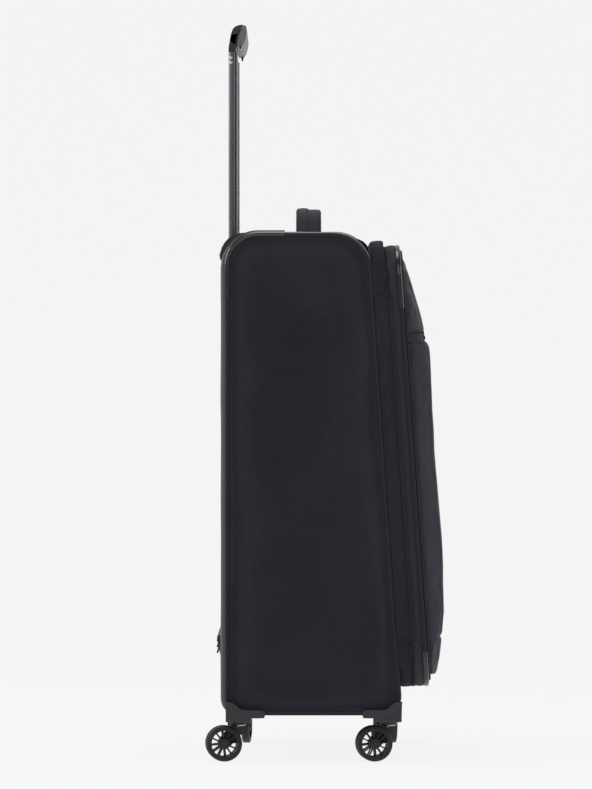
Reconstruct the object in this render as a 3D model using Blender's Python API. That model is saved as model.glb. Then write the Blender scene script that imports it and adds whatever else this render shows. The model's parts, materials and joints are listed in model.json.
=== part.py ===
"""Softside upright suitcase with a pull-out handle, a hinged zipped lid and four twin-wheel casters.

Metres, +Z up. The lid faces -Y, the wheels roll on z = 0 and the lid hinges along its -X edge.
Depths below are measured forwards from the back of the case; heights from the floor.
"""

from math import atan2, cos, degrees, pi, radians, sin, tan

import bmesh
import bpy
from mathutils import Matrix, Vector

MM = 0.001
GAP = 0.3 * MM  # between pieces that touch
ARC_STEP = 12.0  # degrees of a rounded corner that one edge takes up

# Heights that the wheels set
WHEEL_R = 25 * MM
WHEEL_CLEARANCE = 0.8 * MM  # between the tyres and the carrier's collar
COLLAR_HEIGHT = 5.4 * MM
GUARD_HEIGHT = 9.8 * MM  # of a guard's block under the case
COLLAR_LOW = 2 * WHEEL_R + WHEEL_CLEARANCE
GUARD_LOW = COLLAR_LOW + COLLAR_HEIGHT

# Case body
CASE_WIDTH = 456 * MM  # over the side panels
SHELL_BOTTOM = GUARD_LOW + GUARD_HEIGHT
SHELL_TOP = 742 * MM
SHELL_FRONT_FOOT = 260 * MM  # depth of the front plane where it meets the floor
FRONT_LEAN = radians(3.85)  # the front plane leans back by this
BACK_TOP_R = 50 * MM
BACK_BOTTOM_R = 24 * MM
FRONT_TOP_R = 30 * MM
FRONT_BOTTOM_R = 28 * MM
SIDE_WALL = 4 * MM
SHELL_WALL = 4 * MM
PIPING_R = 2.3 * MM
PIPING_INSET = 7 * MM  # from the shell's outline to the middle of the piping
PIPING_FRONT_TOP_R = 50 * MM

# Front rim and lid, as offsets forwards from the front plane and lengths up along it
RIM_DEPTH = 17 * MM
RIM_WALL = 8 * MM
OPENING_WIDTH = CASE_WIDTH + 6 * MM  # over the rim and over the lid
RIM_LOW = SHELL_BOTTOM + 39 * MM
RIM_HIGH = SHELL_TOP - 11 * MM
RIM_R = 42 * MM
LID_GAP = 1.6 * MM  # zipper between rim and lid
LID_WALL_DEPTH = 14 * MM
LID_WALL = 3 * MM
LID_BOARD = 4 * MM
LID_HIGH = RIM_HIGH - 9 * MM
HINGE_LOW = 168 * MM
HINGE_HIGH = 654 * MM
HINGE_CLOTH = 0.9 * MM
HINGE_SETBACK = 2 * MM  # the cloth stops short of the rim's edge, clear of the opened lid
POCKET_INSET = 9 * MM
POCKET_SPLIT = 592 * MM
POCKET_SEAM = 4 * MM
LOWER_POCKET = (  # share of its height from the bottom, depth, narrowing of each side
    (0.00, 10.5 * MM, 20 * MM),
    (0.05, 15.5 * MM, 5 * MM),
    (0.11, 20 * MM, 0),
    (0.19, 26 * MM, 0),
    (0.38, 30.5 * MM, 0),
    (0.68, 28.5 * MM, 0),
    (0.97, 31 * MM, 0),
    (1.00, 29 * MM, 0),
)
UPPER_POCKET = (
    (0.00, 28.5 * MM, 0),
    (0.22, 24 * MM, 0),
    (0.58, 13.5 * MM, 0),
    (0.86, 6.5 * MM, 7 * MM),
    (1.00, 4.5 * MM, 20 * MM),
)
POCKET_FACE = 31.5 * MM  # depth that the pocket zipper's slider stands on
POCKET_ROUND = 14 * MM

# Pull-out handle
TUBE_SPACING = 250 * MM
TUBE_WIDTH = 22 * MM
TUBE_DEPTH = 13 * MM
TUBE_SETBACK = 10 * MM  # of the inner tubes from the back
TUBE_MIDDLE = TUBE_SETBACK + TUBE_DEPTH / 2
TUBE_WALL = 1.2 * MM
TUBE_FIT = 0.4 * MM  # clearance between inner and outer tube, on each side
TUBE_R = 3 * MM
BRACKET_LOW = SHELL_BOTTOM + 12 * MM
BRACKET_HEIGHT = 14 * MM
OUTER_TUBE_LOW = BRACKET_LOW + BRACKET_HEIGHT + GAP
OUTER_TUBE_HIGH = SHELL_TOP - 14 * MM
INNER_TUBE_LOW = 660 * MM
INNER_TUBE_HIGH = 1002 * MM
GRIP_DEPTH = 16 * MM
GRIP_HEIGHT = 31 * MM
GRIP_BACK = 20 * MM
GRIP_LOW = 1010 * MM
GRIP_R = 6.2 * MM
LEG_WIDTH = 25 * MM
BUTTON_LENGTH = 36 * MM
BUTTON_DEPTH = 7.6 * MM
BUTTON_TRAVEL = 5 * MM
BUTTON_PROUD = 3 * MM
ROD_SIZE = 4 * MM
ROD_LOW = 676 * MM
PIN_R = 2.5 * MM
PIN_HEIGHT = 667 * MM
PIN_LENGTH = 15 * MM
BEZEL_WIDTH = 300 * MM
BEZEL_LOW = SHELL_TOP - 35 * MM
BEZEL_THICK = 2 * MM
BEZEL_R = 34 * MM

# Handles and feet on the shell
GRAB_LENGTH = 220 * MM
GRAB_WIDTH = 36 * MM
GRAB_BACK = 106 * MM
GRAB_HIGH = SHELL_TOP + 39 * MM
GRAB_THICK = 9 * MM
SKID_WIDTH = 300 * MM
SKID_LOW = 141 * MM
SKID_HIGH = 174 * MM
SKID_PROUD = 6 * MM

# Casters
CASTER_TRACK = 400 * MM
CASTER_BACK = 25 * MM
CASTER_FRONT = 236 * MM
CASTER_TRAIL = 21 * MM
WHEEL_WIDTH = 11.2 * MM
WHEEL_SPLIT = 9.2 * MM  # between the two wheels of a caster
RIM_OF_WHEEL = 18 * MM
WINDOW_OUT = 16.4 * MM
WINDOW_IN = 8 * MM
SPOKES = 12
AXLE_R = 2 * MM
AXLE_HEAD_R = 3.4 * MM
STEM_R = 5 * MM
RUNNING_FIT = 0.4 * MM
COLLAR_R = 12 * MM
GUARD_BLOCK = 36 * MM
GUARD_REACH = 55 * MM  # along the bottom edge of the side panel
GUARD_HIGH = SHELL_BOTTOM + 19 * MM
GUARD_EDGE = SHELL_BOTTOM + 7 * MM
GUARD_SKIN = 3.6 * MM
CASTER_TURNS = {  # how far each caster has swivelled from trailing straight back
    "back_left": radians(6),
    "front_left": radians(6),
    "back_right": radians(84),
    "front_right": radians(95),
}

# Zipper sliders
SLIDER_LENGTH = 13 * MM
SLIDER_WIDTH = 9 * MM
SLIDER_THICK = 3.4 * MM
PULL_LENGTH = 38 * MM
PULL_WIDTH = 8 * MM
PULL_THICK = 1.6 * MM
MAIN_SLIDER_AT = 600 * MM
POCKET_SLIDER_AT = 165 * MM

FINISHES = {  # colour, roughness, metallic
    "fabric": ((0.021, 0.020, 0.026), 0.9, 0.0),
    "pale_fabric": ((0.07, 0.068, 0.083), 0.9, 0.0),
    "moulding": ((0.034, 0.032, 0.036), 0.5, 0.0),
    "gloss": ((0.012, 0.011, 0.013), 0.2, 0.0),
    "grip": ((0.18, 0.17, 0.19), 0.55, 0.0),
    "tube": ((0.13, 0.125, 0.135), 0.32, 0.9),
    "steel": ((0.45, 0.45, 0.46), 0.3, 1.0),
    "rubber": ((0.015, 0.014, 0.016), 0.7, 0.0),
}


# Outlines: lists of two-dimensional points


def round_corner(before, corner, after, radius):
    """Points of the arc that rounds a corner, in order."""
    to_before = (before - corner).normalized()
    to_after = (after - corner).normalized()
    half = to_before.angle(to_after) / 2
    centre = corner + (to_before + to_after).normalized() * (radius / sin(half))
    first = corner + to_before * (radius / tan(half)) - centre
    last = corner + to_after * (radius / tan(half)) - centre
    sweep = (atan2(last.y, last.x) - atan2(first.y, first.x) + pi) % (2 * pi) - pi
    steps = max(2, round(abs(degrees(sweep)) / ARC_STEP))
    return [centre + Matrix.Rotation(sweep * i / steps, 2) @ first for i in range(steps + 1)]


def rounded(corners, is_open=False):
    """Points through corners (a, b, radius); an open path keeps its two ends as they are."""
    places = [Vector(corner[:2]) for corner in corners]
    points = []
    for index, corner in enumerate(corners):
        is_end = is_open and index in (0, len(corners) - 1)
        if is_end or corner[2] <= 0:
            points.append(places[index])
        else:
            after = places[(index + 1) % len(corners)]
            points += round_corner(places[index - 1], places[index], after, corner[2])
    return [point for i, point in enumerate(points) if i == 0 or (point - points[i - 1]).length > GAP / 10]


def rectangle(low_a, low_b, high_a, high_b, radius=0.0):
    """Rounded rectangle between two corners."""
    corners = [(low_a, low_b), (high_a, low_b), (high_a, high_b), (low_a, high_b)]
    return rounded([(a, b, radius) for a, b in corners])


def circle(a, b, radius, steps=24):
    """Points round a circle."""
    turns = [2 * pi * step / steps for step in range(steps)]
    return [Vector((a + radius * cos(turn), b + radius * sin(turn))) for turn in turns]


def thickened(path, wall):
    """Closed outline of a strip: an open path and its copy, wall to the right of its direction."""
    inner = []
    for index, point in enumerate(path):
        ahead = path[min(index + 1, len(path) - 1)] - point
        behind = point - path[max(index - 1, 0)]
        along = (ahead.normalized() + behind.normalized()).normalized()
        side = Vector((along.y, -along.x))
        straight = ahead if ahead.length > 0 else behind
        square = Vector((straight.y, -straight.x)).normalized()
        inner.append(point + side * (wall / side.dot(square)))
    return path + inner[::-1]


# Solids: bmesh shapes


def spot(axis, along, point):
    """Three-dimensional point of an outline's point, at a place along its axis."""
    a, b = point
    return {"X": (along, a, b), "Y": (a, along, b), "Z": (a, b, along)}[axis]


def outward(shape):
    """Turn all faces of a closed shape outwards."""
    bmesh.ops.recalc_face_normals(shape, faces=shape.faces)
    if shape.calc_volume(signed=True) < 0:
        bmesh.ops.reverse_faces(shape, faces=shape.faces)
    return shape


def prism(outline, axis, low, high, inner=None):
    """Outline drawn out along an axis; inner, with as many points, leaves a hole through it."""
    shape = bmesh.new()
    loops = [outline] if inner is None else [outline, inner]
    ends = []
    for along in (low, high):
        ends.append([[shape.verts.new(spot(axis, along, p)) for p in loop] for loop in loops])
    count = len(outline)
    for loop in range(len(loops)):
        for i in range(count):
            j = (i + 1) % count
            shape.faces.new([ends[0][loop][i], ends[0][loop][j], ends[1][loop][j], ends[1][loop][i]])
    for end in ends:
        if inner is None:
            shape.faces.new(end[0])
            continue
        for i in range(count):
            j = (i + 1) % count
            shape.faces.new([end[0][i], end[0][j], end[1][j], end[1][i]])
    return outward(shape)


def box(low, high):
    """Box between two corners."""
    return prism(rectangle(low[1], low[2], high[1], high[2]), "X", low[0], high[0])


def turned(profile, axis, centre=(0.0, 0.0), steps=24, is_ring=False):
    """Profile (along, radius) turned about an axis through centre; a ring's profile is a closed loop."""
    shape = bmesh.new()
    rounds = []
    for along, radius in profile:
        if radius <= 0:
            rounds.append([shape.verts.new(spot(axis, along, centre))] * steps)
            continue
        rounds.append([shape.verts.new(spot(axis, along, p)) for p in circle(*centre, radius, steps)])
    pairs = list(zip(rounds, rounds[1:]))
    if is_ring:
        pairs.append((rounds[-1], rounds[0]))
    for first, second in pairs:
        for i in range(steps):
            j = (i + 1) % steps
            shape.faces.new(dict.fromkeys([first[i], first[j], second[j], second[i]]))
    return outward(shape)


def spoked_disc(radii, axis_low, axis_high, spokes):
    """Disc on the X axis with a bore and see-through windows, between radii bore, in, out and rim."""
    shape = bmesh.new()
    count = 2 * spokes
    sides = [[[shape.verts.new(spot("X", x, p)) for p in circle(0, 0, radius, count)] for radius in radii]
             for x in (axis_low, axis_high)]

    def is_window(band, i):
        return band == 1 and i % 2 == 1

    for i in range(count):
        j = (i + 1) % count
        for band in range(3):
            if is_window(band, i):
                for a, b in (((1, i), (1, j)), ((2, i), (2, j)), ((1, i), (2, i)), ((1, j), (2, j))):
                    near, far = sides[0], sides[1]
                    shape.faces.new([near[a[0]][a[1]], near[b[0]][b[1]], far[b[0]][b[1]], far[a[0]][a[1]]])
                continue
            for side in sides:
                shape.faces.new([side[band][i], side[band][j], side[band + 1][j], side[band + 1][i]])
        for band in (0, 3):
            near, far = sides[0][band], sides[1][band]
            shape.faces.new([near[i], near[j], far[j], far[i]])
    return outward(shape)


# Objects


def dress(item, finish):
    """Give an object its own material."""
    colour, roughness, metallic = FINISHES[finish]
    material = bpy.data.materials.new(f"{item.name}_{finish}")
    material.use_nodes = True
    shader = material.node_tree.nodes["Principled BSDF"]
    shader.inputs["Base Color"].default_value = (*colour, 1.0)
    shader.inputs["Roughness"].default_value = roughness
    shader.inputs["Metallic"].default_value = metallic
    item.data.materials.clear()
    item.data.materials.append(material)


def node(name, shape, finish, parent=None, origin=(0, 0, 0)):
    """Object from a bmesh, with its own origin at a point of the space it was drawn in."""
    bmesh.ops.translate(shape, verts=shape.verts, vec=-Vector(origin))
    mesh = bpy.data.meshes.new(name)
    shape.to_mesh(mesh)
    shape.free()
    mesh.shade_smooth()
    mesh.set_sharp_from_angle(angle=radians(35))
    item = bpy.data.objects.new(name, mesh)
    bpy.context.scene.collection.objects.link(item)
    item.location = origin
    item.parent = parent
    dress(item, finish)
    return item


def empty(name, location, turn=(0, 0, 0), parent=None):
    """Empty that carries other objects."""
    item = bpy.data.objects.new(name, None)
    bpy.context.scene.collection.objects.link(item)
    item.location = location
    item.rotation_euler = turn
    item.parent = parent
    return item


def combine(item, shape, operation="DIFFERENCE"):
    """Cut a shape out of an object, or join it on; the shape is drawn in the object's own space."""
    helper = node(f"{item.name}_helper", shape, "moulding")
    helper.parent = item
    helper.hide_render = True
    helper.display_type = "WIRE"
    modifier = item.modifiers.new(operation.lower(), "BOOLEAN")
    modifier.operation = operation
    modifier.object = helper


def bevel(item, width, segments=2):
    """Round an object's sharp edges."""
    modifier = item.modifiers.new("bevel", "BEVEL")
    modifier.width = width
    modifier.segments = segments
    modifier.limit_method = "ANGLE"
    modifier.angle_limit = radians(40)


def baked(item, name):
    """Mesh of an object with its modifiers applied; the object and its helpers are removed."""
    bpy.context.view_layer.update()
    evaluated = item.evaluated_get(bpy.context.evaluated_depsgraph_get())
    mesh = bpy.data.meshes.new_from_object(evaluated)
    mesh.name = name
    for old in [*item.children, item]:
        bpy.data.objects.remove(old, do_unlink=True)
    return mesh


def copied(name, mesh, finish, parent, location=(0, 0, 0)):
    """Object that uses a copy of a mesh, so that it can have its own material."""
    item = bpy.data.objects.new(name, mesh.copy())
    bpy.context.scene.collection.objects.link(item)
    item.parent = parent
    item.location = location
    dress(item, finish)
    return item


def piping(name, points, finish, parent=None):
    """Closed round cord through three-dimensional points."""
    curve = bpy.data.curves.new(name, "CURVE")
    curve.dimensions = "3D"
    curve.bevel_depth = PIPING_R
    curve.bevel_resolution = 0
    curve.render_resolution_u = 0
    line = curve.splines.new("POLY")
    line.points.add(len(points) - 1)
    for place, point in zip(line.points, points):
        place.co = (*point, 1.0)
    line.use_cyclic_u = True
    item = bpy.data.objects.new(name, curve)
    bpy.context.scene.collection.objects.link(item)
    item.parent = parent
    dress(item, finish)
    return item


# The case: its profile is drawn in y and z, with the back of the case at y = 0


def front_y(height, forwards=0.0):
    """y of the front plane at a height, moved forwards."""
    return -(SHELL_FRONT_FOOT - height * tan(FRONT_LEAN) + forwards / cos(FRONT_LEAN))


def shell_corners(inset=0.0, front_top_radius=FRONT_TOP_R):
    """Corners of the shell's profile from the lower back one, going up, over the top and down."""
    low, high = SHELL_BOTTOM + inset, SHELL_TOP - inset
    return [
        (-inset, low, BACK_BOTTOM_R - inset),
        (-inset, high, BACK_TOP_R - inset),
        (front_y(high, -inset), high, front_top_radius - inset),
        (front_y(low, -inset), low, FRONT_BOTTOM_R - inset),
    ]


def build_shell():
    """Side panels, back, top and bottom, and the piping round each side."""
    half = CASE_WIDTH / 2
    inner = half - SIDE_WALL - GAP
    low_back, high_back, high_front, low_front = shell_corners()
    for side, name in ((-1, "left"), (1, "right")):
        near, far = sorted((side * half, side * (half - SIDE_WALL)))
        node(f"side_panel_{name}", prism(rounded(shell_corners()), "X", near, far), "fabric")
        loop = rounded(shell_corners(PIPING_INSET, PIPING_FRONT_TOP_R))
        x = side * (half + GAP + PIPING_R)
        piping(f"side_piping_{name}", [(x, y, z) for y, z in loop], "fabric")

    straight = 3 * MM  # at the ends of the bent panels, where the back panel meets them
    back_low, back_high = SHELL_BOTTOM + BACK_BOTTOM_R + straight, SHELL_TOP - BACK_TOP_R - straight
    back = box((-inner, -SHELL_WALL, back_low + GAP), (inner, 0, back_high - GAP))
    node("back_panel", back, "pale_fabric")
    top_end = SHELL_TOP - FRONT_TOP_R - straight
    top = rounded([(0, back_high, 0), high_back, high_front, (front_y(top_end), top_end, 0)], is_open=True)
    top_panel = node("top_panel", prism(thickened(top, -SHELL_WALL), "X", -inner, inner), "pale_fabric")
    bottom_end = RIM_LOW - GAP
    way = [(front_y(bottom_end), bottom_end, 0), low_front, low_back, (0, back_low, 0)]
    bottom = rounded(way, is_open=True)
    node("bottom_panel", prism(thickened(bottom, -SHELL_WALL), "X", -inner, inner), "fabric")
    slot = 1 * MM
    for side in (-1, 1):
        grow = TUBE_FIT + TUBE_WALL + slot
        combine(top_panel, box(*tube_box(side, grow, SHELL_TOP - BACK_TOP_R, SHELL_TOP + BACK_TOP_R)))


def build_grab_handle():
    """Padded strap that arches over the middle of the top."""
    half = GRAB_LENGTH / 2
    foot = SHELL_TOP + GAP
    shoulder = half - 28 * MM
    arch = rounded([(-half, foot, 0), (-half, foot + GRAB_THICK, 4 * MM), (-shoulder, GRAB_HIGH, 40 * MM),
                    (shoulder, GRAB_HIGH, 40 * MM), (half, foot + GRAB_THICK, 4 * MM), (half, foot, 0)],
                   is_open=True)
    outline = thickened(arch, GRAB_THICK)
    node("grab_handle", prism(outline, "Y", -GRAB_BACK - GRAB_WIDTH, -GRAB_BACK), "pale_fabric")


def build_skid():
    """Wedge across the lower back that the case rides on over kerbs and steps."""
    outline = rounded([(GAP, SKID_LOW, 0), (SKID_PROUD, SKID_HIGH - 6 * MM, 2 * MM),
                       (SKID_PROUD, SKID_HIGH, 2 * MM), (GAP, SKID_HIGH, 0)])
    node("rear_skid", prism(outline, "X", -SKID_WIDTH / 2, SKID_WIDTH / 2), "moulding")


# The pull-out handle


def tube_box(side, grow, low, high):
    """Corners of a box round one tube, grown on each side."""
    x = side * TUBE_SPACING / 2
    half_width, half_depth = TUBE_WIDTH / 2 + grow, TUBE_DEPTH / 2 + grow
    near, far = -TUBE_MIDDLE - half_depth, -TUBE_MIDDLE + half_depth
    return (x - half_width, near, low), (x + half_width, far, high)


def tube(side, grow, low, high):
    """Rectangular tube whose outer faces stand grow outside the inner tube's."""
    (x0, y0, _), (x1, y1, _) = tube_box(side, grow, low, high)
    outer = rectangle(x0, y0, x1, y1, TUBE_R + grow)
    w = TUBE_WALL
    inner = rectangle(x0 + w, y0 + w, x1 - w, y1 - w, TUBE_R + grow - w)
    return prism(outer, "Z", low, high, inner)


def side_pin(side, radius, start, end):
    """Round pin along X from the middle of a tube outwards, between two distances."""
    x = side * TUBE_SPACING / 2
    ends = sorted((x + side * start, x + side * end))
    profile = [(ends[0], 0), (ends[0], radius), (ends[1], radius), (ends[1], 0)]
    return turned(profile, "X", (-TUBE_MIDDLE, PIN_HEIGHT), 16)


def build_tubes():
    """Outer tubes in the case, inner tubes that slide in them, and the lock pins at their lower ends."""
    for side, name in ((-1, "left"), (1, "right")):
        grow = TUBE_FIT + TUBE_WALL
        outer = node(f"outer_tube_{name}", tube(side, grow, OUTER_TUBE_LOW, OUTER_TUBE_HIGH), "tube")
        inner = node(f"inner_tube_{name}", tube(side, 0, INNER_TUBE_LOW, INNER_TUBE_HIGH), "tube")
        for wall in (outer, inner):
            combine(wall, side_pin(side, PIN_R + GAP, TUBE_WIDTH / 4, TUBE_WIDTH))
        face = TUBE_WIDTH / 2
        pin_middle = (side * (TUBE_SPACING / 2 + face), -TUBE_MIDDLE, PIN_HEIGHT)
        node(f"lock_pin_{name}", side_pin(side, PIN_R, face - PIN_LENGTH, face), "steel", origin=pin_middle)
        x = side * TUBE_SPACING / 2
        half = ROD_SIZE / 2
        rod = box((x - half, -TUBE_MIDDLE - half, ROD_LOW),
                  (x + half, -TUBE_MIDDLE + half, yoke_low() - GAP))
        node(f"push_rod_{name}", rod, "steel")


def yoke_low():
    """Height of the underside of the bar that joins the button to the push rods."""
    return INNER_TUBE_HIGH + 11 * MM


def leg_outline(back, front, is_cavity=False):
    """Profile of a grip leg, from the tube's top forwards and up into the crossbar."""
    low = INNER_TUBE_HIGH + (-1 * MM if is_cavity else GAP)
    inset = 2.5 * MM if is_cavity else 0.0
    tube_back = -TUBE_MIDDLE + TUBE_DEPTH / 2 - inset
    tube_front = -TUBE_MIDDLE - TUBE_DEPTH / 2 + inset
    top = GRIP_LOW + GRIP_HEIGHT - 2.2 * MM - 4 * inset
    return rounded([(tube_back, low, 0), (tube_front, low, 0), (tube_front, low + 6 * MM, 3 * MM),
                    (front, GRIP_LOW + inset, 0), (front, top, 0), (back, top, 0),
                    (tube_back, INNER_TUBE_HIGH + 18 * MM, 6 * MM)])


def build_grip():
    """Grip in two shells, with the push button, its bar and the cavity that the bar moves in."""
    split = -(GRIP_BACK + GRIP_DEPTH / 2)
    back, front = -GRIP_BACK, -(GRIP_BACK + GRIP_DEPTH)
    high = GRIP_LOW + GRIP_HEIGHT
    reach = TUBE_SPACING / 2 + LEG_WIDTH / 2
    rear = rounded([(split + GAP / 2, GRIP_LOW, 0), (split + GAP / 2, high, 0), (back, high, GRIP_R),
                    (back, GRIP_LOW, GRIP_R)])
    cover = rounded([(split - GAP / 2, GRIP_LOW, 0), (split - GAP / 2, high, 0), (front, high, GRIP_R),
                     (front, GRIP_LOW, GRIP_R)])
    shell = node("grip_shell", prism(rear, "X", -reach, reach), "gloss")
    lid = node("grip_cover", prism(cover, "X", -reach, reach), "grip")
    for side in (-1, 1):
        x = side * TUBE_SPACING / 2
        half = LEG_WIDTH / 2 - 0.1 * MM
        combine(shell, prism(leg_outline(back, split + GAP / 2), "X", x - half, x + half), "UNION")
    wall = 2.4 * MM
    bar_low, bar_high = yoke_low() + 10 * MM, yoke_low() + 18 * MM
    cavity_reach = TUBE_SPACING / 2 + 6 * MM
    for item in (shell, lid):
        combine(item, box((-cavity_reach, front + wall, bar_low - BUTTON_TRAVEL - 0.5 * MM),
                          (cavity_reach, back - wall, bar_high + 0.5 * MM)))
        slot = (BUTTON_LENGTH / 2 + RUNNING_FIT, BUTTON_DEPTH / 2 + RUNNING_FIT)
        combine(item, box((-slot[0], split - slot[1], bar_low), (slot[0], split + slot[1], high + 5 * MM)))
    for side in (-1, 1):
        x = side * TUBE_SPACING / 2
        combine(shell, prism(leg_outline(back - wall, split - wall, True), "X", x - 5.5 * MM, x + 5.5 * MM))
    build_button(split, bar_low, bar_high, high)


def build_button(split, bar_low, bar_high, high):
    """Push button with the bar that carries its travel down to both push rods."""
    half_bar = 2.2 * MM
    half_length, half_depth = BUTTON_LENGTH / 2, BUTTON_DEPTH / 2
    outline = rectangle(-half_length, split - half_depth, half_length, split + half_depth, half_depth * 0.9)
    button = node("handle_button", prism(outline, "Z", bar_high - 2 * MM, high + BUTTON_PROUD), "gloss",
                  origin=(0, split, high))
    down = Vector((0, -split, -high))
    reach = TUBE_SPACING / 2 + ROD_SIZE / 2

    def add(shape):
        bmesh.ops.translate(shape, verts=shape.verts, vec=down)
        combine(button, shape, "UNION")

    add(box((-reach, split - half_bar, bar_low), (reach, split + half_bar, bar_high)))
    low = yoke_low()
    rod_front, rod_back = -TUBE_MIDDLE - ROD_SIZE / 2, -TUBE_MIDDLE + ROD_SIZE / 2
    arm = [Vector(p) for p in ((rod_back, low), (rod_front, low), (split - half_bar + MM, bar_low + MM),
                               (split - half_bar + MM, bar_high - MM), (rod_back, low + 6 * MM))]
    for side in (-1, 1):
        x = side * TUBE_SPACING / 2
        add(prism(arm, "X", x - ROD_SIZE / 2 + 0.2 * MM, x + ROD_SIZE / 2 - 0.2 * MM))


def build_bezel():
    """Moulding over the upper back corner that the tubes come out of, and the bracket at their feet."""
    centre_y, centre_z = -BACK_TOP_R, SHELL_TOP - BACK_TOP_R
    outer = rounded([(BEZEL_THICK, BEZEL_LOW, 0), (BEZEL_THICK, SHELL_TOP + BEZEL_THICK, BEZEL_R),
                     (centre_y - 2 * MM, SHELL_TOP + BEZEL_THICK, 0)], is_open=True)
    radius = BACK_TOP_R + 0.5 * MM
    lowest = atan2(BEZEL_LOW - centre_z, radius)
    steps = 8
    turns = [pi / 2 + (lowest - pi / 2) * i / steps for i in range(steps + 1)]
    inner = [Vector((centre_y + radius * cos(t), centre_z + radius * sin(t))) for t in turns]
    bezel = node("handle_bezel", prism(outer + inner, "X", -BEZEL_WIDTH / 2, BEZEL_WIDTH / 2), "moulding")
    for side in (-1, 1):
        seat = tube_box(side, TUBE_FIT + TUBE_WALL + GAP, BEZEL_LOW - 20 * MM, OUTER_TUBE_HIGH + GAP)
        way = tube_box(side, TUBE_FIT, OUTER_TUBE_HIGH, SHELL_TOP + 20 * MM)
        combine(bezel, box(*seat))
        combine(bezel, box(*way))
    grow = TUBE_FIT + TUBE_WALL
    low, high = tube_box(1, grow, BRACKET_LOW, OUTER_TUBE_LOW - GAP)
    half = high[0] + 4 * MM
    node("tube_foot_bracket", box((-half, low[1], low[2]), (half, high[1], high[2])), "steel")


# Front rim and lid, drawn with y forwards (negative) from the front plane and z along it


def front_frame():
    """Empty on the front plane at floor level, leaning back with it."""
    return empty("front_frame", (0, -SHELL_FRONT_FOOT, 0), (-FRONT_LEAN, 0, 0))


def slab(low_offset, high_offset, outline, inner=None):
    """Plate or ring between two offsets forwards of the front plane."""
    return prism(outline, "Y", -high_offset, -low_offset, inner)


def pocket(ends, edge, base, profile):
    """Padded pocket: sections (share of its height, depth, narrowing of each side) joined in order."""
    shape = bmesh.new()
    low, high = ends
    rings = []
    for share, depth, narrowing in profile:
        half, height = edge - narrowing, low + share * (high - low)
        cheek, brow = base + 0.35 * depth, base + depth
        section = [(half, base), (half, cheek), (half - POCKET_ROUND, brow)]
        section += [(-x, offset) for x, offset in section[::-1]]
        rings.append([shape.verts.new((x, -offset, height)) for x, offset in section])
    for first, second in zip(rings, rings[1:]):
        for i in range(len(first)):
            j = (i + 1) % len(first)
            shape.faces.new([first[i], first[j], second[j], second[i]])
    shape.faces.new(rings[0])
    shape.faces.new(rings[-1])
    return outward(shape)


def build_lid(front):
    """Rim of the case, lid with its walls and pockets, and the cloth hinge between them."""
    half = OPENING_WIDTH / 2
    rim_front = GAP + RIM_DEPTH
    w = RIM_WALL
    opening = rectangle(-half + w, RIM_LOW + w, half - w, RIM_HIGH - w, RIM_R - w)
    rim = slab(GAP, rim_front, rectangle(-half, RIM_LOW, half, RIM_HIGH, RIM_R), opening)
    node("front_rim", rim, "fabric", front)
    cloth = box((-half - GAP - HINGE_CLOTH, HINGE_SETBACK - rim_front, HINGE_LOW),
                (-half - GAP, -GAP, HINGE_HIGH))
    node("lid_hinge_cloth", cloth, "fabric", front)

    axis = (-half - GAP, -rim_front - LID_GAP / 2, 0)
    wall_back = rim_front + LID_GAP
    wall_front = wall_back + LID_WALL_DEPTH
    outline = rectangle(-half, RIM_LOW, half, LID_HIGH, RIM_R)
    w = LID_WALL
    hollow = rectangle(-half + w, RIM_LOW + w, half - w, LID_HIGH - w, RIM_R - w)
    node("lid_wall", slab(wall_back, wall_front, outline, hollow), "fabric", front, axis)
    board = wall_front + GAP
    node("lid_panel", slab(board, board + LID_BOARD, outline), "fabric", front, axis)
    base = board + LID_BOARD + GAP
    edge = half - POCKET_INSET
    low, high, seam = RIM_LOW + POCKET_INSET, LID_HIGH - POCKET_INSET, POCKET_SEAM / 2
    lower = pocket((low, POCKET_SPLIT - seam), edge, base, LOWER_POCKET)
    upper = pocket((POCKET_SPLIT + seam, high), edge, base, UPPER_POCKET)
    node("lower_pocket", lower, "pale_fabric", front, axis)
    node("upper_pocket", upper, "pale_fabric", front, axis)
    build_zip_sliders(front, rim_front + LID_GAP / 2, base)


def build_zip_sliders(front, zip_offset, pocket_base):
    """One slider with its pull on the main zipper's free side and one on the pocket zipper."""
    half = OPENING_WIDTH / 2
    half_length, half_width = SLIDER_LENGTH / 2, SLIDER_WIDTH / 2
    x0 = half + GAP
    x1 = x0 + SLIDER_THICK
    body = box((x0, -zip_offset - half_width, MAIN_SLIDER_AT - half_length),
               (x1, -zip_offset + half_width, MAIN_SLIDER_AT + half_length))
    bevel(node("main_zip_slider", body, "steel", front, (x0, -zip_offset, MAIN_SLIDER_AT)), 0.8 * MM)
    axis_x = x1 + GAP + PULL_THICK / 2
    half_pull = PULL_WIDTH / 2
    start = PULL_THICK
    pull = box((x1 + GAP, -zip_offset - half_pull, MAIN_SLIDER_AT - start - PULL_LENGTH),
               (x1 + GAP + PULL_THICK, -zip_offset + half_pull, MAIN_SLIDER_AT - start))
    bevel(node("main_zip_pull", pull, "steel", front, (axis_x, -zip_offset, MAIN_SLIDER_AT)), 0.4 * MM, 1)

    x = POCKET_SLIDER_AT
    back = pocket_base + POCKET_FACE
    face = back + SLIDER_THICK
    slider_low = POCKET_SPLIT + POCKET_SEAM / 2 - SLIDER_WIDTH
    body = box((x - half_length, -face, slider_low), (x + half_length, -back, slider_low + SLIDER_WIDTH))
    bevel(node("pocket_zip_slider", body, "steel", front, (x, -back, POCKET_SPLIT)), 0.8 * MM)
    pull = box((x - half_pull, -face - GAP - PULL_THICK, POCKET_SPLIT - start - PULL_LENGTH),
               (x + half_pull, -face - GAP, POCKET_SPLIT - start))
    hinge = (x, -face - GAP - PULL_THICK / 2, POCKET_SPLIT)
    bevel(node("pocket_zip_pull", pull, "steel", front, hinge), 0.4 * MM, 1)


# Casters: drawn about the swivel axis, trailing towards +Y


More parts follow.
